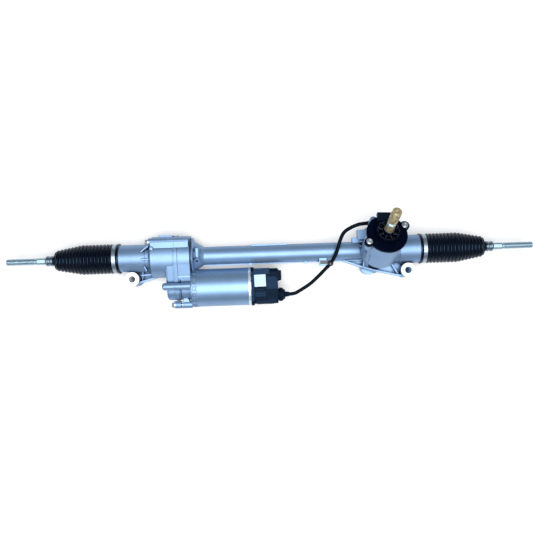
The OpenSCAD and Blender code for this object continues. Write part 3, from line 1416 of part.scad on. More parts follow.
main_housing();
nut_housing();
left_mount_sleeve();
right_mount_sleeve();
case_bolts();
motor_bolts();
motor_flange();
motor_can();
motor_end_ring();
stator();
motor_bearings();
ecu_case();
ecu_connector();
ecu_terminals();
circuit_board();
motor_plug();
plug_relief();
sensor_cable();
sensor_plug();
cable_clip();
sensor_cap();
sensor_connector();
cap_screws();
left_boot();
right_boot();
left_boot_band();
right_boot_band();
left_boot_clip();
right_boot_clip();
rack_bush();
left_stop_ring();
right_stop_ring();
nut_bearing_outer();
nut_bearing_inner();
nut_bearing_balls();
ball_nut();
nut_pulley();
drive_belt();
motor_pulley();
motor_shaft();
rotor_core();
rack_bar();
left_socket();
right_socket();
left_ball_seat();
right_ball_seat();
left_tie_rod();
right_tie_rod();
pinion();
torsion_bar();
input_shaft();
magnet_ring();
sensor_coil();
shaft_seal();
pinion_lower_bearing();
pinion_upper_bearing();
pinion_end_plug();
yoke();
yoke_spring();
yoke_plug();
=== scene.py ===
"""Looks of an electric power steering rack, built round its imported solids.

All sizes are in metres. X runs along the rack towards the pinion tower, Z runs
along the mounting bolts, up from the mounting face.
"""
import json
import logging
import math
from dataclasses import dataclass
from enum import Enum
from typing import Sequence, Union

import bmesh
import bpy
import numpy as np
from mathutils import Matrix, Vector

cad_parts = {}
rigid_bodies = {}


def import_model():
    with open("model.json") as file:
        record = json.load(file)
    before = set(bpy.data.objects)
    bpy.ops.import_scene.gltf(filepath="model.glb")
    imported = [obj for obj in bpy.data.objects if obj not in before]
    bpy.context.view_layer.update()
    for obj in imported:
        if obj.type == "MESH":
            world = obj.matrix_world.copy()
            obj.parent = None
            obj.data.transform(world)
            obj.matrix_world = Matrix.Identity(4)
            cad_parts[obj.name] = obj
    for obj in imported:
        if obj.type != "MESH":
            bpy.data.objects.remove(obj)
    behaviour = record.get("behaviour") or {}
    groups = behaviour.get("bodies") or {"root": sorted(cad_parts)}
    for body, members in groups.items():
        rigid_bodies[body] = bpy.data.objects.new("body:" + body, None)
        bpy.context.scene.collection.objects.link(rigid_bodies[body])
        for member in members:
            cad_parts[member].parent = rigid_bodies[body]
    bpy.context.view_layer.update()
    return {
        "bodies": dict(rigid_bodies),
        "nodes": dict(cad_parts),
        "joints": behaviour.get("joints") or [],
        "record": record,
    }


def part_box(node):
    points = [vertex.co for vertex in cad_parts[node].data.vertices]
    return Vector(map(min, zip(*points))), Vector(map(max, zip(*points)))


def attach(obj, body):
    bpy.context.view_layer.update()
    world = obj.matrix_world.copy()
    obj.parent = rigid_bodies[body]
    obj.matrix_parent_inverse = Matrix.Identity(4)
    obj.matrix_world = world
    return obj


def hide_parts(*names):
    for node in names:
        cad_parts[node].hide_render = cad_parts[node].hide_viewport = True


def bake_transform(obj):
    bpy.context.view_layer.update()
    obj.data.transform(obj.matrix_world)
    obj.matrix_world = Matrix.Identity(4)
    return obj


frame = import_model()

LOG = logging.getLogger("steering_rack")
MM = 0.001
TAU = 2 * math.pi

Colour = tuple[float, float, float]
Profile = np.ndarray
Spot = tuple[float, float]

BLUE_SHEEN: Colour = (0.35, 0.6, 1.0)
# Colour of the painted shade in the corners of turned parts.
CORNER_SHADE_COLOUR: Colour = (0.006, 0.012, 0.03)


class Side(Enum):
    """The two ends of the rack, with the direction in which each points along X."""

    LEFT = -1
    RIGHT = 1

    @property
    def prefix(self) -> str:
        """Start of the names of this end's nodes."""
        return self.name.lower()


# ---------------------------------------------------------------- places in the frame


def joint(name: str) -> dict:
    """The record's entry of one joint."""
    return next(j for j in frame["joints"] if j["name"] == name)


def mount(name: str) -> dict:
    """The record's entry of one mount."""
    return next(m for m in frame["record"]["mounts"] if m["name"] == name)


def ball_centre(side: Side) -> Vector:
    """Centre of the ball at the inner end of one tie rod."""
    return Vector(joint(f"{side.prefix}_tie_rod_vertical")["pos_m"])


def top_of(node: str, place: Spot) -> float:
    """Height of a CAD node's highest surface above one place in the plan."""
    above = Vector((place[0], place[1], 1.0))
    hit, point, _, _ = frame["nodes"][node].ray_cast(above, Vector((0, 0, -1)))
    return point.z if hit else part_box(node)[1].z


# ---------------------------------------------------------------- shader maths


class Num:
    """A number that varies over a surface, so that shader maths reads as Python."""

    def __init__(self, graph: "Graph", socket: bpy.types.NodeSocket) -> None:
        """Wraps a socket of a graph."""
        self.graph = graph
        self.socket = socket

    def _with(self, operation: str, *values: "Value") -> "Num":
        """Adds a Math node.

        Args:
            operation: the Math node's operation.
            values: its inputs, in order.

        Returns:
            The node's result.
        """
        made = self.graph.node("ShaderNodeMath", {"operation": operation}, dict(enumerate(values)))
        return Num(self.graph, made.outputs[0])

    def __add__(self, other: "Value") -> "Num":
        """Sum."""
        return self._with("ADD", self, other)

    def __sub__(self, other: "Value") -> "Num":
        """Difference."""
        return self._with("SUBTRACT", self, other)

    def __rsub__(self, other: float) -> "Num":
        """Difference from a plain number."""
        return self._with("SUBTRACT", other, self)

    def __mul__(self, other: "Value") -> "Num":
        """Product."""
        return self._with("MULTIPLY", self, other)

    __radd__ = __add__
    __rmul__ = __mul__

    def power(self, exponent: float) -> "Num":
        """This number raised to a power."""
        return self._with("POWER", self, exponent)

    def sine(self) -> "Num":
        """Sine of this number."""
        return self._with("SINE", self)

    def least(self, other: "Value") -> "Num":
        """The smaller of two numbers."""
        return self._with("MINIMUM", self, other)

    def most(self, other: "Value") -> "Num":
        """The larger of two numbers."""
        return self._with("MAXIMUM", self, other)

    def away_from(self, place: float) -> "Num":
        """Distance of this number from a place."""
        return self._with("ABSOLUTE", self - place)

    def between(self, low: float, high: float) -> "Num":
        """A smooth step that is 0 at low and 1 at high."""
        made = self.graph.node(
            "ShaderNodeMapRange",
            {"interpolation_type": "SMOOTHSTEP"},
            {0: self, 1: low, 2: high},
        )
        return Num(self.graph, made.outputs[0])

    def slab(self, low: float, high: float, soft: float) -> "Num":
        """1 where this number lies from low to high, and 0 beyond them, with soft ends."""
        return self.between(low - soft, low) * (1.0 - self.between(high, high + soft))


Value = Union[Num, float]


class Graph:
    """The node tree of one material."""

    def __init__(self, name: str) -> None:
        """Starts an empty tree in a new material of that name."""
        self.material = bpy.data.materials.new(name)
        self.material.use_nodes = True
        self.tree = self.material.node_tree
        self.tree.nodes.clear()

    def node(self, kind: str, settings: dict | None = None, inputs: dict | None = None) -> bpy.types.Node:
        """Adds one node.

        Args:
            kind: the node's type.
            settings: its properties, set first; stops are a ramp's (place, colour) pairs.
            inputs: a value or a link for each socket, by name or index.

        Returns:
            The node.
        """
        made = self.tree.nodes.new(kind)
        for key, value in (settings or {}).items():
            if key == "stops":
                ramp = made.color_ramp.elements
                while len(ramp) < len(value):
                    ramp.new(0.5)
                for element, (place, colour) in zip(ramp, value):
                    element.position = place
                    element.color = (*colour, 1.0)
            else:
                setattr(made, key, value)
        for key, value in (inputs or {}).items():
            given = value.socket if isinstance(value, Num) else value
            if isinstance(given, bpy.types.NodeSocket):
                self.tree.links.new(given, made.inputs[key])
            else:
                made.inputs[key].default_value = given
        return made

    def place(self) -> bpy.types.NodeSocket:
        """Object coordinates."""
        return self.node("ShaderNodeTexCoord").outputs["Object"]

    def along(self, axis: str) -> Num:
        """One object coordinate, X, Y or Z."""
        split = self.node("ShaderNodeSeparateXYZ", inputs={0: self.place()})
        return Num(self, split.outputs[axis])

    def noise(self, scale: float, detail: float = 2.0, stretch: Colour = (1.0, 1.0, 1.0)) -> Num:
        """Noise on object coordinates.

        Args:
            scale: cells per metre.
            detail: octaves of finer noise.
            stretch: factor on the scale along each axis.

        Returns:
            The noise, about 0.5 on average.
        """
        moved = self.node("ShaderNodeMapping", inputs={"Vector": self.place(), "Scale": stretch})
        made = self.node(
            "ShaderNodeTexNoise", inputs={"Vector": moved.outputs[0], "Scale": scale, "Detail": detail}
        )
        return Num(self, made.outputs[0])

    def reach_along(self, start: Sequence[float], way: Sequence[float]) -> Num:
        """Distance from a point along a unit direction."""
        moved = self.node("ShaderNodeVectorMath", {"operation": "SUBTRACT"}, {0: self.place(), 1: start})
        made = self.node("ShaderNodeVectorMath", {"operation": "DOT_PRODUCT"}, {0: moved.outputs[0], 1: way})
        return Num(self, made.outputs["Value"])

    def shut_in(self, distance: float) -> Num:
        """How far a spot is shut in by its own piece within a distance: 0 in the open, 1 in a corner. The
        finishes darken corners by it as painted shade.
        """
        made = self.node(
            "ShaderNodeAmbientOcclusion", {"only_local": True, "samples": 8}, {"Distance": distance}
        )
        return 1.0 - Num(self, made.outputs["AO"]).between(0.3, 0.92)

    def attribute(self, name: str) -> Num:
        """A number kept on the mesh."""
        return Num(self, self.node("ShaderNodeAttribute", {"attribute_name": name}).outputs["Fac"])

    def mix(self, share: Value, first: object, second: object) -> bpy.types.NodeSocket:
        """Mixes two colours.

        Args:
            share: 0 for the first colour, 1 for the second.
            first: a colour or a colour socket.
            second: a colour or a colour socket.

        Returns:
            The mixed colour's socket.
        """
        full = [(*c, 1.0) if isinstance(c, tuple) else c for c in (first, second)]
        made = self.node("ShaderNodeMix", {"data_type": "RGBA"}, {0: share, 6: full[0], 7: full[1]})
        return made.outputs[2]

    def soft_edges(self, radius: float) -> bpy.types.NodeSocket:
        """Normal that rounds the edges of a piece by a radius."""
        return self.node("ShaderNodeBevel", {"samples": 6}, {"Radius": radius}).outputs[0]

    def edge_mask(self, soft: bpy.types.NodeSocket) -> Num:
        """1 on the edges that soft_edges rounds, and 0 on the faces between them."""
        flat = self.node("ShaderNodeNewGeometry").outputs["Normal"]
        made = self.node("ShaderNodeVectorMath", {"operation": "DOT_PRODUCT"}, {0: soft, 1: flat})
        return (1.0 - Num(self, made.outputs["Value"])).between(0.005, 0.18)

    def bump(
        self, height: Num, strength: float, distance: float, normal: bpy.types.NodeSocket | None = None
    ) -> bpy.types.NodeSocket:
        """Bumped normal.

        Args:
            height: height of the surface, from 0 to 1.
            strength: share of the bump that is used.
            distance: height of 1 in metres.
            normal: the normal that is bumped, or None for the mesh's own.

        Returns:
            The normal's socket.
        """
        inputs = {"Height": height, "Strength": strength, "Distance": distance}
        if normal is not None:
            inputs["Normal"] = normal
        return self.node("ShaderNodeBump", inputs=inputs).outputs[0]

    def finish(self, inputs: dict) -> bpy.types.Material:
        """Ends the tree with a Principled shader with these inputs, and returns the material."""
        full = {k: (*v, 1.0) if isinstance(v, tuple) and len(v) == 3 else v for k, v in inputs.items()}
        shader = self.node("ShaderNodeBsdfPrincipled", inputs=full)
        self.node("ShaderNodeOutputMaterial", inputs={"Surface": shader.outputs[0]})
        return self.material


def shade(colour: Colour, factor: float) -> Colour:
    """A colour made lighter or darker by a factor."""
    return tuple(min(1.0, c * factor) for c in colour)


# ---------------------------------------------------------------- finishes


@dataclass(frozen=True)
class Casting:
    """Die-cast aluminium: blasted grain, slow mottling, edges lightened as wear and as a painted highlight,
    and painted shade in corners.
    """

    colour: Colour
    roughness: float = 0.46
    metallic: float = 0.6
    edge: float = 0.9 * MM
    pads: bool = False
    # The next three give the painted shade in corners: how far it reaches, how strong it is, and its colour.
    reach: float = 9.0 * MM
    soot: float = 0.9
    corner: Colour = (0.010, 0.022, 0.055)
    pad_colour: Colour = (0.93, 0.95, 0.96)
    pad_r: float = 17.0 * MM
    pad_height: float = 62.0 * MM

    def make(self, name: str) -> bpy.types.Material:
        """Builds the material: colour from two noises, edges lightened (wear and painted highlight), corners
        darkened (painted shade), grain as bump.
        """
        g = Graph(name)
        mottle = g.noise(28.0, 4.0)
        stain = g.noise(9.0, 3.0).between(0.5, 0.72)
        grain = g.noise(1500.0, 2.0)
        soft = g.soft_edges(self.edge)
        edge_wear_and_highlight = g.edge_mask(soft)
        base = g.mix(mottle, shade(self.colour, 0.88), shade(self.colour, 1.1))
        base = g.mix(stain * 0.22, base, shade(self.colour, 0.66))
        # Edges lightened: partly wear, partly painted highlight.
        base = g.mix(edge_wear_and_highlight * 0.5, base, shade(self.colour, 1.35))
        # Corners darkened by how shut in they are: painted shade.
        base = g.mix(g.shut_in(self.reach) * self.soot, base, self.corner)
        metallic: Value = self.metallic
        if self.pads:
            pad = self.pad_mask(g)
            base = g.mix(pad, base, self.pad_colour)
            metallic = self.metallic * (1.0 - pad)
        rough = self.roughness + (grain - 0.5) * 0.16 - edge_wear_and_highlight * 0.1
        return g.finish(
            {
                "Base Color": base,
                "Metallic": metallic,
                "Roughness": rough,
                "Specular IOR Level": 0.3,
                "Normal": g.bump(grain, 0.35, 0.06 * MM, soft),
            }
        )

    def pad_mask(self, g: Graph) -> Num:
        """1 on the freshly faced ends of the two mounting bosses."""
        bore_x = mount("right_mount_bore")["pos_m"][0]
        top = self.pad_height
        off = g.along("X").away_from(0.0).away_from(bore_x).most(g.along("Y").away_from(0.0))
        near_bore = 1.0 - off.between(self.pad_r, self.pad_r + 0.3 * MM)
        return near_bore * g.along("Z").slab(top - 0.3 * MM, top + 0.2 * MM, 0.2 * MM)


@dataclass(frozen=True)
class Turned:
    """Machined metal with fine tool lines across one axis."""

    colour: Colour
    lines: Colour = (1.0, 0.02, 0.02)
    roughness: float = 0.3
    metallic: float = 0.85
    mottle: float = 0.08
    edge: float = 0.35 * MM
    # Strength of the painted shade in corners.
    soot: float = 0.5

    def make(self, name: str) -> bpy.types.Material:
        """Builds the material: tool lines are noise stretched along the surface."""
        g = Graph(name)
        tool = g.noise(2600.0, 1.0, self.lines)
        cloud = g.noise(160.0, 3.0)
        soft = g.soft_edges(self.edge)
        edge_wear_and_highlight = g.edge_mask(soft)
        base = g.mix(cloud, shade(self.colour, 1 - self.mottle), shade(self.colour, 1 + self.mottle))
        # Edges lightened: partly wear, partly painted highlight.
        base = g.mix(edge_wear_and_highlight * 0.5, base, shade(self.colour, 1.3))
        # Corners darkened by how shut in they are: painted shade.
        base = g.mix(g.shut_in(3.0 * MM) * self.soot, base, CORNER_SHADE_COLOUR)
        rough = self.roughness + (tool - 0.5) * 0.2 + (cloud - 0.5) * 0.12
        return g.finish(
            {
                "Base Color": base,
                "Metallic": self.metallic,
                "Roughness": rough,
                "Normal": g.bump(tool, 0.25, 0.02 * MM, soft),
            }
        )


@dataclass(frozen=True)
class Passivated:
    """Yellow-passivated serrated steel, stained in patches, with one bright ground band."""

    colour: Colour
    band: Spot
    band_colour: Colour = (0.62, 0.80, 0.92)
    stain: Colour = (0.09, 0.075, 0.045)

    def make(self, name: str) -> bpy.types.Material:
        """Builds the material: the band is a slab of the distance along the shaft's axis."""
        g = Graph(name)
        shaft = joint("torsion_twist")
        band = g.reach_along(shaft["pos_m"], shaft["axis"]).slab(*self.band, 0.3 * MM)
        patch = g.noise(150.0, 3.0).between(0.42, 0.66)
        spots = g.noise(420.0, 2.0).between(0.6, 0.72)
        soft = g.soft_edges(0.3 * MM)
        base = g.mix(patch, self.colour, shade(self.colour, 0.45))
        base = g.mix(spots * 0.6, base, self.stain)
        # Edges lightened: partly wear, partly painted highlight.
        base = g.mix(g.edge_mask(soft) * 0.5, base, shade(self.colour, 1.5))
        base = g.mix(band, base, self.band_colour)
        return g.finish(
            {
                "Base Color": base,
                "Metallic": 0.6,
                "Roughness": 0.36 + patch * 0.12 - band * 0.1,
                "Normal": g.bump(g.noise(900.0, 2.0), 0.3, 0.05 * MM, soft),
            }
        )


@dataclass(frozen=True)
class Moulded:
    """Moulded plastic: eroded fine texture, and edges polished by handling and made lighter, partly as wear
    and partly as a painted highlight.

    Optionally the edges near the steering shaft are bright: a painted highlight.
    Optionally, above a pair of heights, the piece is paler and its edges paler still:
    a painted highlight on its top faces.
    """

    colour: Colour
    roughness: float = 0.38
    edge: float = 0.5 * MM
    texture: float = 1700.0
    gloss: float = 0.06
    # Painted highlights: bright edges near the shaft, pale tops above a pair of heights, and the colour of
    # those bright edges.
    rims: bool = False
    raised: Spot | None = None
    rim_colour: Colour = (0.30, 0.38, 0.48)
    cup_r: float = 23.5 * MM

    def make(self, name: str) -> bpy.types.Material:
        """Builds the material: texture is fine noise as bump, edges are lighter (wear and painted highlight)
        and smoother, corners darker (painted shade).
        """
        g = Graph(name)
        fine = g.noise(self.texture, 2.0)
        flow = g.noise(45.0, 3.0)
        soft = g.soft_edges(self.edge)
        edge_wear_and_highlight = g.edge_mask(soft)
        base = g.mix(flow, shade(self.colour, 0.8), shade(self.colour, 1.25))
        # Edges lightened: partly wear, partly painted highlight.
        base = g.mix(edge_wear_and_highlight * 0.6, base, tuple(c * 2.6 + 0.012 for c in self.colour))
        # Corners darkened by how shut in they are: painted shade.
        base = g.mix(g.shut_in(4.0 * MM) * 0.7, base, shade(self.colour, 0.15))
        if self.raised:
            # Top faces made paler and their edges paler still: painted highlight.
            base = g.mix(g.along("Z").between(*self.raised), base, shade(self.colour, 4.5))
            base = g.mix(edge_wear_and_highlight * 0.7, base, shade(self.colour, 9.0))
        if self.rims:
            # Edges near the shaft brightened: painted highlight.
            base = g.mix(edge_wear_and_highlight * self.near_shaft(g) * 0.9, base, self.rim_colour)
        rough = self.roughness + (flow - 0.5) * 0.15 + (fine - 0.5) * 0.1 - edge_wear_and_highlight * 0.08
        return g.finish(
            {
                "Base Color": base,
                "Metallic": 0.0,
                "Roughness": rough,
                "Specular IOR Level": self.gloss,
                "Specular Tint": BLUE_SHEEN,
                "Normal": g.bump(fine, 0.3, 0.04 * MM, soft),
            }
        )

    def near_shaft(self, g: Graph) -> Num:
        """1 within the cup round the steering shaft, and 0 beyond it.

        Formula: the distance off the shaft's axis is sqrt(d^2 - a^2), where d is the
        distance from the axis's start and a the distance along the axis.
        """
        shaft = joint("torsion_twist")
        axis, pos = shaft["axis"], shaft["pos_m"]
        at = g.reach_along(pos, axis)
        moved = g.node("ShaderNodeVectorMath", {"operation": "DISTANCE"}, {0: g.place(), 1: pos})
        far = Num(g, moved.outputs["Value"])
        off = (far * far - at * at).most(0.0).power(0.5)
        return 1.0 - off.between(self.cup_r, self.cup_r + 1.5 * MM)


@dataclass(frozen=True)
class BootRubber:
    """Moulded rubber of a bellows: crests polished, valleys dull with dust."""

    colour: Colour
    dust: Colour
    roughness: float = 0.32
    gloss: float = 0.4

    def make(self, name: str) -> bpy.types.Material:
        """Builds the material from the crest attribute, 0 in a valley and 1 on a crest."""
        g = Graph(name)
        crest = g.attribute("crest")
        cloud = g.noise(60.0, 4.0)
        fine = g.noise(900.0, 2.0)
        low = (1.0 - crest).between(0.25, 1.0)
        base = g.mix(cloud, shade(self.colour, 0.75), shade(self.colour, 1.3))
        base = g.mix(low * cloud * 0.4, base, self.dust)
        rough = self.roughness + low * 0.45 + (cloud - 0.5) * 0.12 - crest * 0.06
        return g.finish(
            {
                "Base Color": base,
                "Metallic": 0.0,
                "Roughness": rough,
                "Specular IOR Level": self.gloss,
                "Specular Tint": BLUE_SHEEN,
                "Normal": g.bump(fine, 0.25, 0.05 * MM),
            }
        )


@dataclass(frozen=True)
class Jacket:
    """Rubbery jacket of a cable, with fine drawing lines along it."""

    colour: Colour

    def make(self, name: str) -> bpy.types.Material:
        """Builds the material: lines from the round attribute, the angle round the cable."""
        g = Graph(name)
        rib = (g.attribute("round") * 31.0).sine()
        cloud = g.noise(120.0, 3.0)
        base = g.mix(cloud, shade(self.colour, 0.75), shade(self.colour, 1.35))
        return g.finish(
            {
                "Base Color": base,
                "Metallic": 0.0,
                "Roughness": 0.42 + (cloud - 0.5) * 0.2,
                "Specular IOR Level": 0.12,
                "Specular Tint": BLUE_SHEEN,
                "Normal": g.bump(rib * 0.5 + cloud, 0.2, 0.05 * MM),
            }
        )


@dataclass(frozen=True)
class Paper:
    """Bare printed-film label: pale film with a soft frame and nothing written on it."""

    colour: Colour
    frame: Colour
    centre: Spot
    half: Spot

    def make(self, name: str) -> bpy.types.Material:
        """Builds the material: the frame lies a fixed distance inside the label's edges."""
        g = Graph(name)
        dx = g.along("X").away_from(self.centre[0])
        dy = g.along("Y").away_from(self.centre[1])
        inset = (dx - (self.half[0] - 2.2 * MM)).most(dy - (self.half[1] - 2.6 * MM))
        line = 1.0 - inset.away_from(0.0).between(0.15 * MM, 0.45 * MM)
        inner = 1.0 - inset.between(-0.3 * MM, 0.0)
        cloud = g.noise(140.0, 3.0)
        base = g.mix(cloud * 0.5, self.colour, shade(self.colour, 0.93))
        base = g.mix(inner * 0.35, base, self.frame)
        base = g.mix(line * 0.5, base, shade(self.frame, 0.8))
        return g.finish(
            {
                "Base Color": base,
                "Metallic": 0.0,
                "Roughness": 0.35 + cloud * 0.12,
                "Normal": g.bump(g.noise(500.0, 2.0), 0.1, 0.03 * MM),
            }
        )


FINISHES: dict[str, object] = {
    "cast_aluminium": Casting((0.215, 0.345, 0.545), pads=True),
    "can_aluminium": Casting((0.22, 0.36, 0.56), 0.44, 0.65, 0.5 * MM),
    "steel_sleeve": Turned((0.50, 0.68, 0.84), (0.02, 0.02, 1.0), 0.4, 0.3),
    "zinc_steel": Turned((0.72, 0.78, 0.84), (1.0, 1.0, 1.0), 0.3, 0.8),
    "copper": Turned((0.12, 0.055, 0.03), (0.1, 1.0, 1.0), 0.45, 0.6, 0.15),
    "bearing_steel": Turned((0.60, 0.62, 0.64), (1.0, 0.1, 0.1), 0.18, 0.95),
    "black_plastic": Moulded((0.004, 0.009, 0.022)),
    "gold_terminal": Turned((0.80, 0.58, 0.22), (0.1, 1.0, 1.0), 0.22, 0.95),
    "board_green": Moulded((0.02, 0.14, 0.06), 0.3),
    "cable_sheath": Jacket((0.0010, 0.0016, 0.0045)),
    "black_steel": Turned((0.05, 0.055, 0.065), (1.0, 1.0, 1.0), 0.4, 0.6),
    "boot_rubber": BootRubber((0.0012, 0.0020, 0.0055), (0.005, 0.007, 0.012)),
    "band_steel": Turned((0.33, 0.41, 0.50), (1.0, 0.03, 0.03), 0.36, 0.8, soot=0.85),
    "bush_plastic": Moulded((0.12, 0.12, 0.13), 0.5),
    "bump_rubber": Moulded((0.02, 0.02, 0.022), 0.6),
    "machined_steel": Turned((0.42, 0.44, 0.47), (1.0, 0.02, 0.02), 0.25, 0.9),
    "seat_plastic": Moulded((0.68, 0.65, 0.54), 0.35),
    "tie_rod_steel": Turned((0.38, 0.53, 0.63), (1.0, 0.02, 0.02), 0.38, 0.85),
    "shaft_steel": Passivated((0.58, 0.50, 0.31), (83.5 * MM, 92.0 * MM)),
    "cap_plastic": Moulded((0.0010, 0.0024, 0.0090), 0.36, rims=True),
    "deck_plastic": Moulded((0.0034, 0.0080, 0.0180), 0.42, raised=(81.3 * MM, 84.0 * MM)),
    "clip_steel": Turned((0.20, 0.28, 0.36), (1.0, 0.03, 0.03), 0.3, 0.85, soot=0.95),
    "ring_aluminium": Turned((0.66, 0.80, 0.92), (0.02, 1.0, 1.0), 0.3, 0.5, soot=0.9),
    "clean_sleeve": Turned((0.90, 0.93, 0.95), (0.02, 0.02, 1.0), 0.35, 0.1),
}
OWN_FINISH = {
    "sensor_cap": "cap_plastic",
    "ecu_case": "deck_plastic",
    "left_boot_clip": "clip_steel",
    "right_boot_clip": "clip_steel",
    "motor_end_ring": "ring_aluminium",
    "left_mount_sleeve": "clean_sleeve",
}


# ---------------------------------------------------------------- mesh helpers


def grid_faces(rows: int, columns: int, close_rows: bool, close_columns: bool) -> np.ndarray:
    """Quads of a grid of points kept row by row.

    Args:
        rows: number of rows.
        columns: number of points in a row.
        close_rows: whether the last row joins the first.
        close_columns: whether a row's last point joins its first.

    Returns:
        Four point numbers for each quad.
    """
    i = np.arange(rows if close_rows else rows - 1)[:, None]
    j = np.arange(columns if close_columns else columns - 1)[None, :]
    down, across = (i + 1) % rows, (j + 1) % columns
    corners = [i * columns + j, i * columns + across, down * columns + across, down * columns + j]
    return np.stack([np.broadcast_to(c, (i.size, j.size)) for c in corners], axis=-1).reshape(-1, 4)


def fan(ring: np.ndarray, middle: int) -> list:
    """Triangles from each step of a closed ring of point numbers to one middle point."""
    return np.column_stack([ring, np.roll(ring, -1), np.full(len(ring), middle)]).tolist()


def mesh_object(name: str, points: np.ndarray, faces: Sequence, smooth: bool = True) -> bpy.types.Object:
    """Makes an object at the origin from points and faces.

    Args:
        name: the object's name.
        points: one row of x, y, z for each point.
        faces: point numbers of each face.
        smooth: whether the faces are shaded smooth.

    Returns:
        The linked object.
    """
    mesh = bpy.data.meshes.new(name)
    mesh.from_pydata(points.tolist(), [], [list(map(int, f)) for f in faces])
    mesh.polygons.foreach_set("use_smooth", np.full(len(mesh.polygons), smooth))
    mesh.update()
    made = bpy.data.objects.new(name, mesh)
    bpy.context.scene.collection.objects.link(made)
    return made


def point_number(made: bpy.types.Object, name: str, values: np.ndarray) -> None:
    """Keeps a number for each point of a mesh as an attribute of that name."""
    layer = made.data.attributes.new(name, "FLOAT", "POINT")
    layer.data.foreach_set("value", np.ascontiguousarray(values, np.float32).ravel())


def turned_points(profile: Profile, centre: Vector, angles: np.ndarray) -> np.ndarray:
    """Turns a profile of (x, radius) rows about the line through centre along X.

    Formula: the point at angle a is (x, cy + r cos a, cz + r sin a).

    Args:
        profile: the (x, radius) rows.
        centre: a point on the line that it turns about.
        angles: the angles, in radians.

    Returns:
        An array of profile points by angles by 3.
    """
    x, r = profile[:, 0][:, None], profile[:, 1][:, None]
    ca, sa = np.cos(angles)[None, :], np.sin(angles)[None, :]
    along = np.broadcast_to(x, (len(profile), len(angles)))
    return np.stack([along, centre.y + r * ca, centre.z + r * sa], axis=-1)


def rounded(points: Sequence[tuple[float, float]], radius: float, steps: int = 4) -> Profile:
    """Rounds the corners of an open line of points.

    Each inner corner becomes a quadratic curve that starts and ends at most radius
    from it and has the corner as its control point.

    Args:
        points: the line's corners, in order.
        radius: how far from a corner its curve may start.
        steps: number of stretches in each curve.

    Returns:
        The rounded line, one row for each point.
    """
    line = np.array(points, float)
    out = [line[:1]]
    t = np.linspace(0, 1, steps + 1)[:, None]
    for before, corner, after in zip(line[:-2], line[1:-1], line[2:]):
        to_a, to_b = before - corner, after - corner
        la, lb = np.linalg.norm(to_a), np.linalg.norm(to_b)
        a = corner + to_a / la * min(radius, la * 0.45)
        b = corner + to_b / lb * min(radius, lb * 0.45)
        out.append((1 - t) ** 2 * a + 2 * t * (1 - t) * corner + t**2 * b)
    out.append(line[-1:])
    return np.vstack(out)


# ---------------------------------------------------------------- pieces


class Wardrobe:
    """Holds one material for each slot and puts it on pieces."""

    def __init__(self) -> None:
        """Builds the materials of all the slots."""
        self.materials = {slot: finish.make(slot) for slot, finish in FINISHES.items()}

    def dress(self, piece: bpy.types.Object, slot: str) -> None:
        """Puts a slot's material on every material slot of a piece."""
        if not piece.material_slots:
            piece.data.materials.append(self.materials[slot])
        for holder in piece.material_slots:
            holder.material = self.materials[slot]

    def dress_nodes(self) -> None:
        """Dresses all CAD nodes as the record says, or as OWN_FINISH does."""
        for part in frame["record"]["subparts"]:
            node = part["node"]
            self.dress(frame["nodes"][node], OWN_FINISH.get(node, part["material_slot"]))


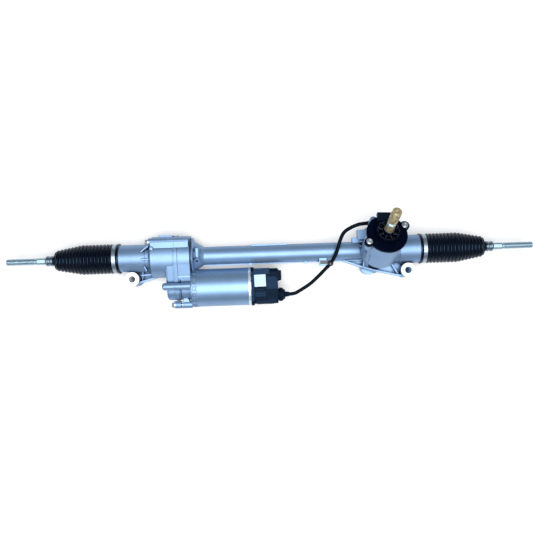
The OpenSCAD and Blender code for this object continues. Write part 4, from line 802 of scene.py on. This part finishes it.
@dataclass
class Boot:
    """Bellows boot from the housing's end to the tie rod's neck.

    A hook swings the folded wall with the tie rod, from a little inside of the
    ball to all of it at the neck.
    """

    side: Side
    crest_r: float = 33.0 * MM
    end_r: float = 22.5 * MM
    lip_r: float = 33.4 * MM
    neck_r: float = 9.4 * MM
    wall: float = 1.5 * MM
    depth: float = 3.6 * MM
    folds: int = 16
    fold_power: float = 1.6
    rows_per_fold: int = 12
    straight: float = 0.55
    band_start: float = 6.0 * MM
    band_w: float = 8.0 * MM
    fold_start: float = 14.5 * MM
    fold_len: float = 125.0 * MM
    clip_start: float = 147.0 * MM
    swing_lead: float = 30.0 * MM
    grip: float = 5.0 * MM
    around: int = 112

    def outer_profile(self, x0: float, x1: float) -> tuple[Profile, Profile]:
        """Outer wall as (x, radius) rows, with x outwards, and its crest heights.

        Each fold's height is 1 - |2u - 1| ^ fold_power, where u runs from 0 to 1 over the fold:
        a round crest between sharp valleys. The crest line is straight at first and then
        tapers to the last fold.

        Args:
            x0: inner end of the boot.
            x1: outer end of the boot.

        Returns:
            The rows, and for each row how near to a crest it is, from 0 to 1.
        """
        f0 = x0 + self.fold_start
        seat = self.crest_r - 5.0 * MM
        b0 = x0 + self.band_start
        b1 = b0 + self.band_w
        cuff = rounded(
            [
                (x0, seat), (x0, self.lip_r), (b0 - 1.8 * MM, self.lip_r),
                (b0 - 0.4 * MM, self.crest_r - 2 * MM), (b1 + 0.2 * MM, self.crest_r - 2 * MM),
            ],
            1.1 * MM,
        )
        t = np.linspace(0, 1, self.folds * self.rows_per_fold + 1)
        u = (t * self.folds) % 1.0
        height = 1 - np.abs(2 * u - 1) ** self.fold_power
        height[-1] = 0.0
        taper = np.clip((t - self.straight) / (1 - self.straight), 0, 1)
        crest = self.crest_r - (self.crest_r - self.end_r) * taper
        radius = crest - self.depth * (1 - height)
        folds = np.column_stack([f0 + t * self.fold_len, radius])
        f1 = f0 + self.fold_len
        neck = self.neck_r
        shoulder = rounded(
            [
                (f1 + 0.6 * MM, self.end_r - 3 * MM), (f1 + 1.4 * MM, self.end_r - 2.2 * MM),
                (f1 + 3.4 * MM, self.end_r - 7 * MM), (f1 + 4.8 * MM, neck + 0.2 * MM),
                (x1 - 4.5 * MM, neck), (x1 - 1 * MM, neck), (x1, neck - 0.5 * MM),
            ],
            1.6 * MM,
        )
        rows = np.vstack([cuff, folds, shoulder])
        near = np.concatenate([np.full(len(cuff), 0.75), height, np.full(len(shoulder), 0.6)])
        return rows, near

    def build(self, wardrobe: Wardrobe) -> bpy.types.Object:
        """Builds the boot, hangs it on its bodies and dresses it."""
        node = f"{self.side.prefix}_boot"
        low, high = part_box(node)
        ball = ball_centre(self.side)
        x0, x1 = (low.x, high.x) if self.side is Side.RIGHT else (-high.x, -low.x)
        outer, near = self.outer_profile(x0, x1)
        inner = outer[::-1].copy()
        inner[:, 1] -= self.wall
        closed = np.vstack([outer, inner])
        crest = np.concatenate([near, near[::-1] * 0.3])
        angles = np.linspace(0, TAU, self.around, endpoint=False)
        points = turned_points(closed, ball, angles)
        points[..., 0] *= self.side.value
        faces = grid_faces(len(closed), self.around, True, True)
        if self.side is Side.LEFT:
            faces = faces[:, ::-1]
        piece = mesh_object(f"{self.side.prefix}_bellows", points.reshape(-1, 3), faces)
        point_number(piece, "crest", np.repeat(crest, self.around))
        self.hang(piece, x0, ball)
        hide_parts(node)
        wardrobe.dress(piece, "boot_rubber")
        return piece

    def hang(self, piece: bpy.types.Object, x0: float, ball: Vector) -> None:
        """Hooks the boot to the tie rod.

        The empty that the hook follows takes the rack's travel off the tie rod's place.

        Args:
            piece: the boot.
            x0: distance of its inner end from the middle.
            ball: centre of the tie rod's ball.
        """
        s = self.side.value
        start, end = x0 + self.fold_start, x0 + self.clip_start
        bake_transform(piece)
        swing = bpy.data.objects.new(f"{self.side.prefix}_swing", None)
        bpy.context.scene.collection.objects.link(swing)
        swing.parent = frame["bodies"][f"{self.side.prefix}_tie_rod"]
        back = swing.constraints.new("COPY_LOCATION")
        back.target = frame["bodies"]["rack"]
        back.invert_x = back.invert_y = back.invert_z = True
        back.owner_space, back.target_space = "LOCAL", "WORLD"
        x = np.array([v.co.x for v in piece.data.vertices]) * s
        still = abs(ball.x) - self.swing_lead
        share = np.clip((x - still) / (end - self.grip - still), 0, 1)
        group = piece.vertex_groups.new(name="swing")
        for number in np.flatnonzero(share > 0):
            group.add([int(number)], float(share[number]), "REPLACE")
        hook = piece.modifiers.new("swing", "HOOK")
        hook.object = swing
        hook.vertex_group = group.name
        hook.falloff_type = "NONE"
        hook.center = (0.0, 0.0, 0.0)
        hook.matrix_inverse = Matrix.Identity(4)


@dataclass
class TieRod:
    """Inner tie rod: ball, tapered neck, rod with spanner flats and a cut outer thread."""

    side: Side
    ball_r: float = 11.4 * MM
    neck_r: float = 6.0 * MM
    rod_r: float = 7.5 * MM
    flat_half: float = 6.6 * MM
    thread_r: float = 7.0 * MM
    thread_pitch: float = 1.5 * MM
    thread_depth: float = 0.6 * MM
    thread_len: float = 65.0 * MM
    around: int = 64

    def build(self, wardrobe: Wardrobe) -> bpy.types.Object:
        """Builds the rod as one closed surface and puts it on its body."""
        node = f"{self.side.prefix}_tie_rod"
        low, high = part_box(node)
        ball = ball_centre(self.side)
        centre, tip = abs(ball.x), max(abs(low.x), abs(high.x))
        boot_low, boot_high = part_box(f"{self.side.prefix}_boot")
        boot_end = max(abs(boot_low.x), abs(boot_high.x))
        thread = tip - self.thread_len
        a = np.linspace(math.pi, math.asin(self.neck_r / self.ball_r), 28)
        sphere = np.column_stack([centre + self.ball_r * np.cos(a), self.ball_r * np.sin(a)])
        body = rounded(
            [
                (sphere[-1, 0] + 0.4 * MM, self.neck_r), (centre + 22 * MM, self.neck_r),
                (centre + 30 * MM, self.rod_r), (boot_end, self.rod_r),
                (boot_end + 1.4 * MM, self.rod_r), (boot_end + 1.8 * MM, self.rod_r),
                (thread - 3.4 * MM, self.rod_r), (thread - 3 * MM, self.rod_r),
                (thread - 2.2 * MM, self.rod_r), (thread - 0.6 * MM, self.thread_r - self.thread_depth),
            ],
            0.5 * MM,
        )
        x = np.arange(thread, tip - 0.05 * MM, self.thread_pitch / 10)
        screw = np.column_stack([x, np.full(len(x), self.thread_r)])
        end = np.array([[tip, self.thread_r - 1.5 * MM], [tip, 2.0 * MM], [tip, 0.0]])
        profile = np.vstack([sphere, body, screw, end])
        angles = np.linspace(0, TAU, self.around, endpoint=False)
        points = turned_points(profile, Vector((0, 0, 0)), angles)
        points = self.cut_thread(points, profile, angles, thread, tip)
        points = self.cut_flats(points, boot_end + 1.5 * MM, thread - 3.2 * MM)
        points[..., 1] += ball.y
        points[..., 2] += ball.z
        points[..., 0] *= self.side.value
        faces = grid_faces(len(profile), self.around, False, True)
        if self.side is Side.LEFT:
            faces = faces[:, ::-1]
        piece = mesh_object(f"{self.side.prefix}_inner_tie_rod", points.reshape(-1, 3), faces)
        weld(piece)
        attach(piece, node)
        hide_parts(node)
        wardrobe.dress(piece, "tie_rod_steel")
        return piece

    def cut_thread(
        self, points: np.ndarray, profile: Profile, angles: np.ndarray, start: float, tip: float
    ) -> np.ndarray:
        """Cuts the thread.

        Formula: the phase is x / pitch - angle / turn, and the radius falls by the thread's
        depth times a triangle wave of the phase, faded in and out at the thread's ends.

        Args:
            points: the rod's points, by rows of the profile and by angles.
            profile: the rod's (x, radius) rows.
            angles: the angles, in radians.
            start: where the thread starts along X.
            tip: where the rod ends.

        Returns:
            The points with the thread cut.
        """
        x = profile[:, 0][:, None]
        phase = x / self.thread_pitch - self.side.value * angles[None, :] / TAU
        wave = np.clip(1.25 * np.abs(2 * (phase % 1.0) - 1) - 0.1, 0, 1)
        fade = np.clip((x - start) / (3 * MM), 0, 1)
        chamfer = np.clip((x - (tip - 1.6 * MM)) / (1.6 * MM), 0, 1)
        here = (x >= start) & (x < tip)
        low = self.thread_depth * (1 - fade) + self.thread_depth * wave * fade
        radius = self.thread_r - low - chamfer * (1.4 * MM) * (1 - wave * 0.5)
        r_now = np.hypot(points[..., 1], points[..., 2])
        factor = np.where(here, radius / np.maximum(r_now, 1e-9), 1.0)
        points[..., 1] *= factor
        points[..., 2] *= factor
        return points

    def cut_flats(self, points: np.ndarray, start: float, end: float) -> np.ndarray:
        """Cuts two flats for a spanner: heights beyond the flats are brought down to them."""
        inside = (points[..., 0] > start) & (points[..., 0] < end)
        flat = np.clip(points[..., 2], -self.flat_half, self.flat_half)
        points[..., 2] = np.where(inside, flat, points[..., 2])
        return points


def weld(piece: bpy.types.Object, distance: float = 1e-6) -> None:
    """Merges the doubled points of a piece's poles and seams, and turns its faces outwards."""
    work = bmesh.new()
    work.from_mesh(piece.data)
    bmesh.ops.remove_doubles(work, verts=work.verts, dist=distance)
    bmesh.ops.recalc_face_normals(work, faces=work.faces)
    work.to_mesh(piece.data)
    work.free()


@dataclass
class SensorCable:
    """Lead from the control unit's round plug over the tube to the torque sensor."""

    start: tuple = (0.041, -0.044, 0.050)
    end: tuple = (0.20987, 0.10278, 0.09379)
    shares: tuple = (
        (0, 0, 0), (0.071, 0.01, 0), (0.148, 0.055, 0.011), (0.272, 0.143, 0.046),
        (0.379, 0.252, 0.16), (0.462, 0.347, 0.285), (0.538, 0.436, 0.388),
        (0.598, 0.552, 0.502), (0.633, 0.661, 0.594), (0.669, 0.79, 0.685),
        (0.716, 0.886, 0.799), (0.799, 0.947, 0.913), (0.899, 0.988, 1.005), (1, 1, 1),
    )
    radius: float = 4.0 * MM
    drawn_share: float = 0.99
    around: int = 24
    steps: int = 12

    def centreline(self) -> np.ndarray:
        """Smooth curve through the route.

        The route's points are shares of the way from start to end along each axis.
        Formula: each stretch is the cubic whose slope at a point is half the step between
        the point's two neighbours.
        """
        start, end = np.array(self.start), np.array(self.end)
        p = start + np.array(self.shares, float) * (end - start)
        n = len(p)
        t = np.linspace(0, n - 1, (n - 1) * self.steps + 1)
        i = np.minimum(t.astype(int), n - 2)
        f = (t - i)[:, None]
        p0, p1, p2, p3 = p[np.maximum(i - 1, 0)], p[i], p[i + 1], p[np.minimum(i + 2, n - 1)]
        return 0.5 * (
            2 * p1 + (p2 - p0) * f + (2 * p0 - 5 * p1 + 4 * p2 - p3) * f**2
            + (3 * p1 - p0 - 3 * p2 + p3) * f**3
        )

    def build(self, wardrobe: Wardrobe) -> bpy.types.Object:
        """Sweeps a circle along the centreline, closed by a flat cap at each end."""
        line = self.centreline()
        way = np.gradient(line, axis=0)
        way /= np.linalg.norm(way, axis=1, keepdims=True)
        across = np.cross([0, 0, 1.0], way)
        across /= np.linalg.norm(across, axis=1, keepdims=True)
        up = np.cross(way, across)
        angles = np.linspace(0, TAU, self.around, endpoint=False)
        ca, sa = np.cos(angles)[None, :, None], np.sin(angles)[None, :, None]
        ring = across[:, None] * ca + up[:, None] * sa
        points = (line[:, None] + self.radius * self.drawn_share * ring).reshape(-1, 3)
        faces = grid_faces(len(line), self.around, False, True)[:, ::-1].tolist()
        caps = np.vstack([line[:1], line[-1:]])
        ring_start = np.arange(self.around)
        ring_end = ring_start + (len(line) - 1) * self.around
        faces += fan(ring_start, len(points))
        faces += fan(ring_end[::-1], len(points) + 1)
        piece = mesh_object("sensor_lead", np.vstack([points, caps]), faces)
        turn = np.concatenate([np.tile(np.minimum(angles, TAU - angles), len(line)), [0, 0]])
        point_number(piece, "round", turn)
        weld(piece)
        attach(piece, "housing")
        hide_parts("sensor_cable")
        wardrobe.dress(piece, "cable_sheath")
        return piece


@dataclass
class Label:
    """Bare film label on top of the control unit."""

    centre: Spot = (-22.3 * MM, -11.7 * MM)
    half: Spot = (12.3 * MM, 12.9 * MM)
    film: Colour = (0.50, 0.64, 0.82)
    rule: Colour = (0.36, 0.55, 0.80)
    corner: float = 1.2 * MM
    corner_points: int = 7
    thickness: float = 0.18 * MM
    turn: float = math.radians(1.2)

    def build(self, wardrobe: Wardrobe) -> bpy.types.Object:
        """Builds a thin plate with round corners: rows are the outline shrunk towards the middle."""
        top = top_of("ecu_case", self.centre)
        q = np.repeat(np.arange(4), self.corner_points)
        a = (q * 90 + np.tile(np.linspace(0, 90, self.corner_points), 4)) * math.pi / 180
        sx = np.where((q == 0) | (q == 3), 1, -1) * (self.half[0] - self.corner)
        sy = np.where(q < 2, 1, -1) * (self.half[1] - self.corner)
        x, y = sx + self.corner * np.cos(a), sy + self.corner * np.sin(a)
        c, s = math.cos(self.turn), math.sin(self.turn)
        outline = np.column_stack([c * x - s * y + self.centre[0], s * x + c * y + self.centre[1]])
        middle = np.array(self.centre)
        levels = [(1.0, 0.0), (1.0, 0.75), (0.985, 1.0), (0.5, 1.0)]
        n = len(outline)
        rows = [
            np.column_stack([middle + (outline - middle) * k, np.full(n, top + h * self.thickness)])
            for k, h in levels
        ]
        points = np.vstack([*rows, [[*middle, top + self.thickness]]])
        faces = grid_faces(len(levels), n, False, True).tolist()
        faces += fan((len(levels) - 1) * n + np.arange(n), len(points) - 1)
        faces.append(list(range(n))[::-1])
        piece = mesh_object("bare_label", points, faces, smooth=False)
        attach(piece, "housing")
        paper = Paper(self.film, self.rule, self.centre, self.half)
        piece.data.materials.append(paper.make("label_film"))
        return piece


@dataclass
class CrimpTab:
    """Bright staked tab that holds the motor's end ring, a low oval dome."""

    centre: Spot = (-44.6 * MM, -40.0 * MM)
    half: Spot = (2.2 * MM, 3.6 * MM)
    height: float = 1.1 * MM
    root: float = 0.6 * MM
    around: int = 32
    rings: int = 8

    def build(self, wardrobe: Wardrobe) -> bpy.types.Object:
        """Builds the dome: ring radii and heights follow a quarter of an ellipse."""
        base = top_of("motor_end_ring", self.centre) - self.root
        full = self.height + self.root
        rise = np.linspace(0, math.pi / 2, self.rings, endpoint=False)[:, None]
        a = np.linspace(0, TAU, self.around, endpoint=False)
        x = self.centre[0] + self.half[0] * np.cos(rise) * np.cos(a)
        y = self.centre[1] + self.half[1] * np.cos(rise) * np.sin(a)
        z = np.broadcast_to(base + full * np.sin(rise), x.shape)
        points = np.stack([x, y, z], axis=-1).reshape(-1, 3)
        top = [[*self.centre, base + full]]
        faces = grid_faces(self.rings, self.around, False, True).tolist()
        faces += fan((self.rings - 1) * self.around + np.arange(self.around), len(points))
        faces.append(list(range(self.around))[::-1])
        piece = mesh_object("ring_tab", np.vstack([points, top]), faces)
        weld(piece)
        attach(piece, "housing")
        wardrobe.dress(piece, "clean_sleeve")
        return piece


# ---------------------------------------------------------------- studio


@dataclass
class Studio:
    """Plain soft studio: a camera straight above, one large lamp, a pale floor, a dim world."""

    eye: tuple[float, float, float] = (-7.4 * MM, 18.0 * MM, 1546.0 * MM)
    turn: float = math.radians(-1.97)
    half_view: float = math.radians(21.35)
    sensor: float = 36.0
    lamp_place: tuple[float, float, float] = (0.0, -0.16, 1.65)
    lamp_size: Spot = (1.9, 1.30)
    lamp_watts: float = 46.0
    sky: Colour = (0.80, 0.90, 1.0)
    sky_strength: float = 0.08
    floor_reach: float = 6.0
    floor_drop: float = 0.2 * MM
    floor_open: Colour = (0.66, 0.665, 0.67)
    # Floor colour where the part shuts it in: painted shade.
    floor_shut: Colour = (0.03, 0.035, 0.045)
    floor_glow: Colour = (0.97, 0.98, 1.0)
    glow_strength: float = 0.42
    deep_grey: Colour = (0.22, 0.22, 0.22)

    def camera(self) -> None:
        """Makes the camera, which looks straight down."""
        data = bpy.data.cameras.new("camera")
        data.sensor_width = self.sensor
        data.lens = self.sensor / 2 / math.tan(self.half_view)
        data.clip_start, data.clip_end = 0.01, 50.0
        made = bpy.data.objects.new("camera", data)
        made.location = self.eye
        made.rotation_euler = (0.0, 0.0, self.turn)
        bpy.context.scene.collection.objects.link(made)
        bpy.context.scene.camera = made

    def lamp(self) -> None:
        """Makes the one large area lamp, which faces the frame's origin."""
        data = bpy.data.lights.new("main", "AREA")
        data.shape = "RECTANGLE"
        data.size, data.size_y = self.lamp_size
        data.energy = self.lamp_watts
        data.color = (1.0, 1.0, 1.0)
        made = bpy.data.objects.new("main", data)
        made.location = self.lamp_place
        made.rotation_euler = (-Vector(self.lamp_place)).to_track_quat("-Z", "Y").to_euler()
        bpy.context.scene.collection.objects.link(made)

    def floor(self) -> None:
        """Makes the pale floor as one large square.

        The camera and mirror-like surfaces see it pale, and it lights the part as a
        mid-grey floor would. Where the part shuts it in, its colour darkens and its
        glow fades: painted shade.
        """
        corners = np.array([(-1, -1, 0), (1, -1, 0), (1, 1, 0), (-1, 1, 0)], float)
        points = corners * self.floor_reach - (0, 0, self.floor_drop)
        made = mesh_object("floor", points, [(0, 1, 2, 3)], smooth=False)
        g = Graph("floor")
        path = g.node("ShaderNodeLightPath")
        seen = Num(g, path.outputs["Is Camera Ray"]) + Num(g, path.outputs["Is Glossy Ray"])
        seen = (seen + Num(g, path.outputs["Is Transmission Ray"])).least(1.0)
        shut = g.node("ShaderNodeAmbientOcclusion", {"samples": 8}, {"Distance": 25.0 * MM})
        open_air = Num(g, shut.outputs["AO"])
        # Floor colour darkened where the part shuts it in: painted shade.
        tone = g.mix((open_air * 2.5).least(1.0), self.floor_shut, self.floor_open)
        pale = g.node("ShaderNodeBsdfDiffuse", inputs={"Color": tone})
        # Glow fades where the part shuts the floor in: painted shade.
        glow = g.node(
            "ShaderNodeEmission",
            inputs={"Color": (*self.floor_glow, 1.0), "Strength": open_air * self.glow_strength},
        )
        plain = g.node("ShaderNodeAddShader", inputs={0: pale.outputs[0], 1: glow.outputs[0]})
        deep = g.node("ShaderNodeBsdfDiffuse", inputs={"Color": (*self.deep_grey, 1.0)})
        both = g.node("ShaderNodeMixShader", inputs={0: seen, 1: deep.outputs[0], 2: plain.outputs[0]})
        g.node("ShaderNodeOutputMaterial", inputs={"Surface": both.outputs[0]})
        made.data.materials.append(g.material)

    def world(self) -> None:
        """Sets a dim even world."""
        made = bpy.data.worlds.new("world")
        made.use_nodes = True
        back = made.node_tree.nodes["Background"]
        back.inputs["Color"].default_value = (*self.sky, 1.0)
        back.inputs["Strength"].default_value = self.sky_strength
        bpy.context.scene.world = made

    def build(self) -> None:
        """Builds the studio."""
        self.camera()
        self.floor()
        self.world()
        self.lamp()
        bpy.context.scene.view_settings.view_transform = "Standard"


def main() -> None:
    """Builds the studio and dresses the rack, piece by piece."""
    logging.basicConfig(level=logging.INFO)
    Studio().build()
    wardrobe = Wardrobe()
    wardrobe.dress_nodes()
    makers = [*(Boot(s) for s in Side), *(TieRod(s) for s in Side), SensorCable(), Label(), CrimpTab()]
    for maker in makers:
        piece = maker.build(wardrobe)
        LOG.info("built %s with %d faces", piece.name, len(piece.data.polygons))


if __name__ == "__main__":
    main()
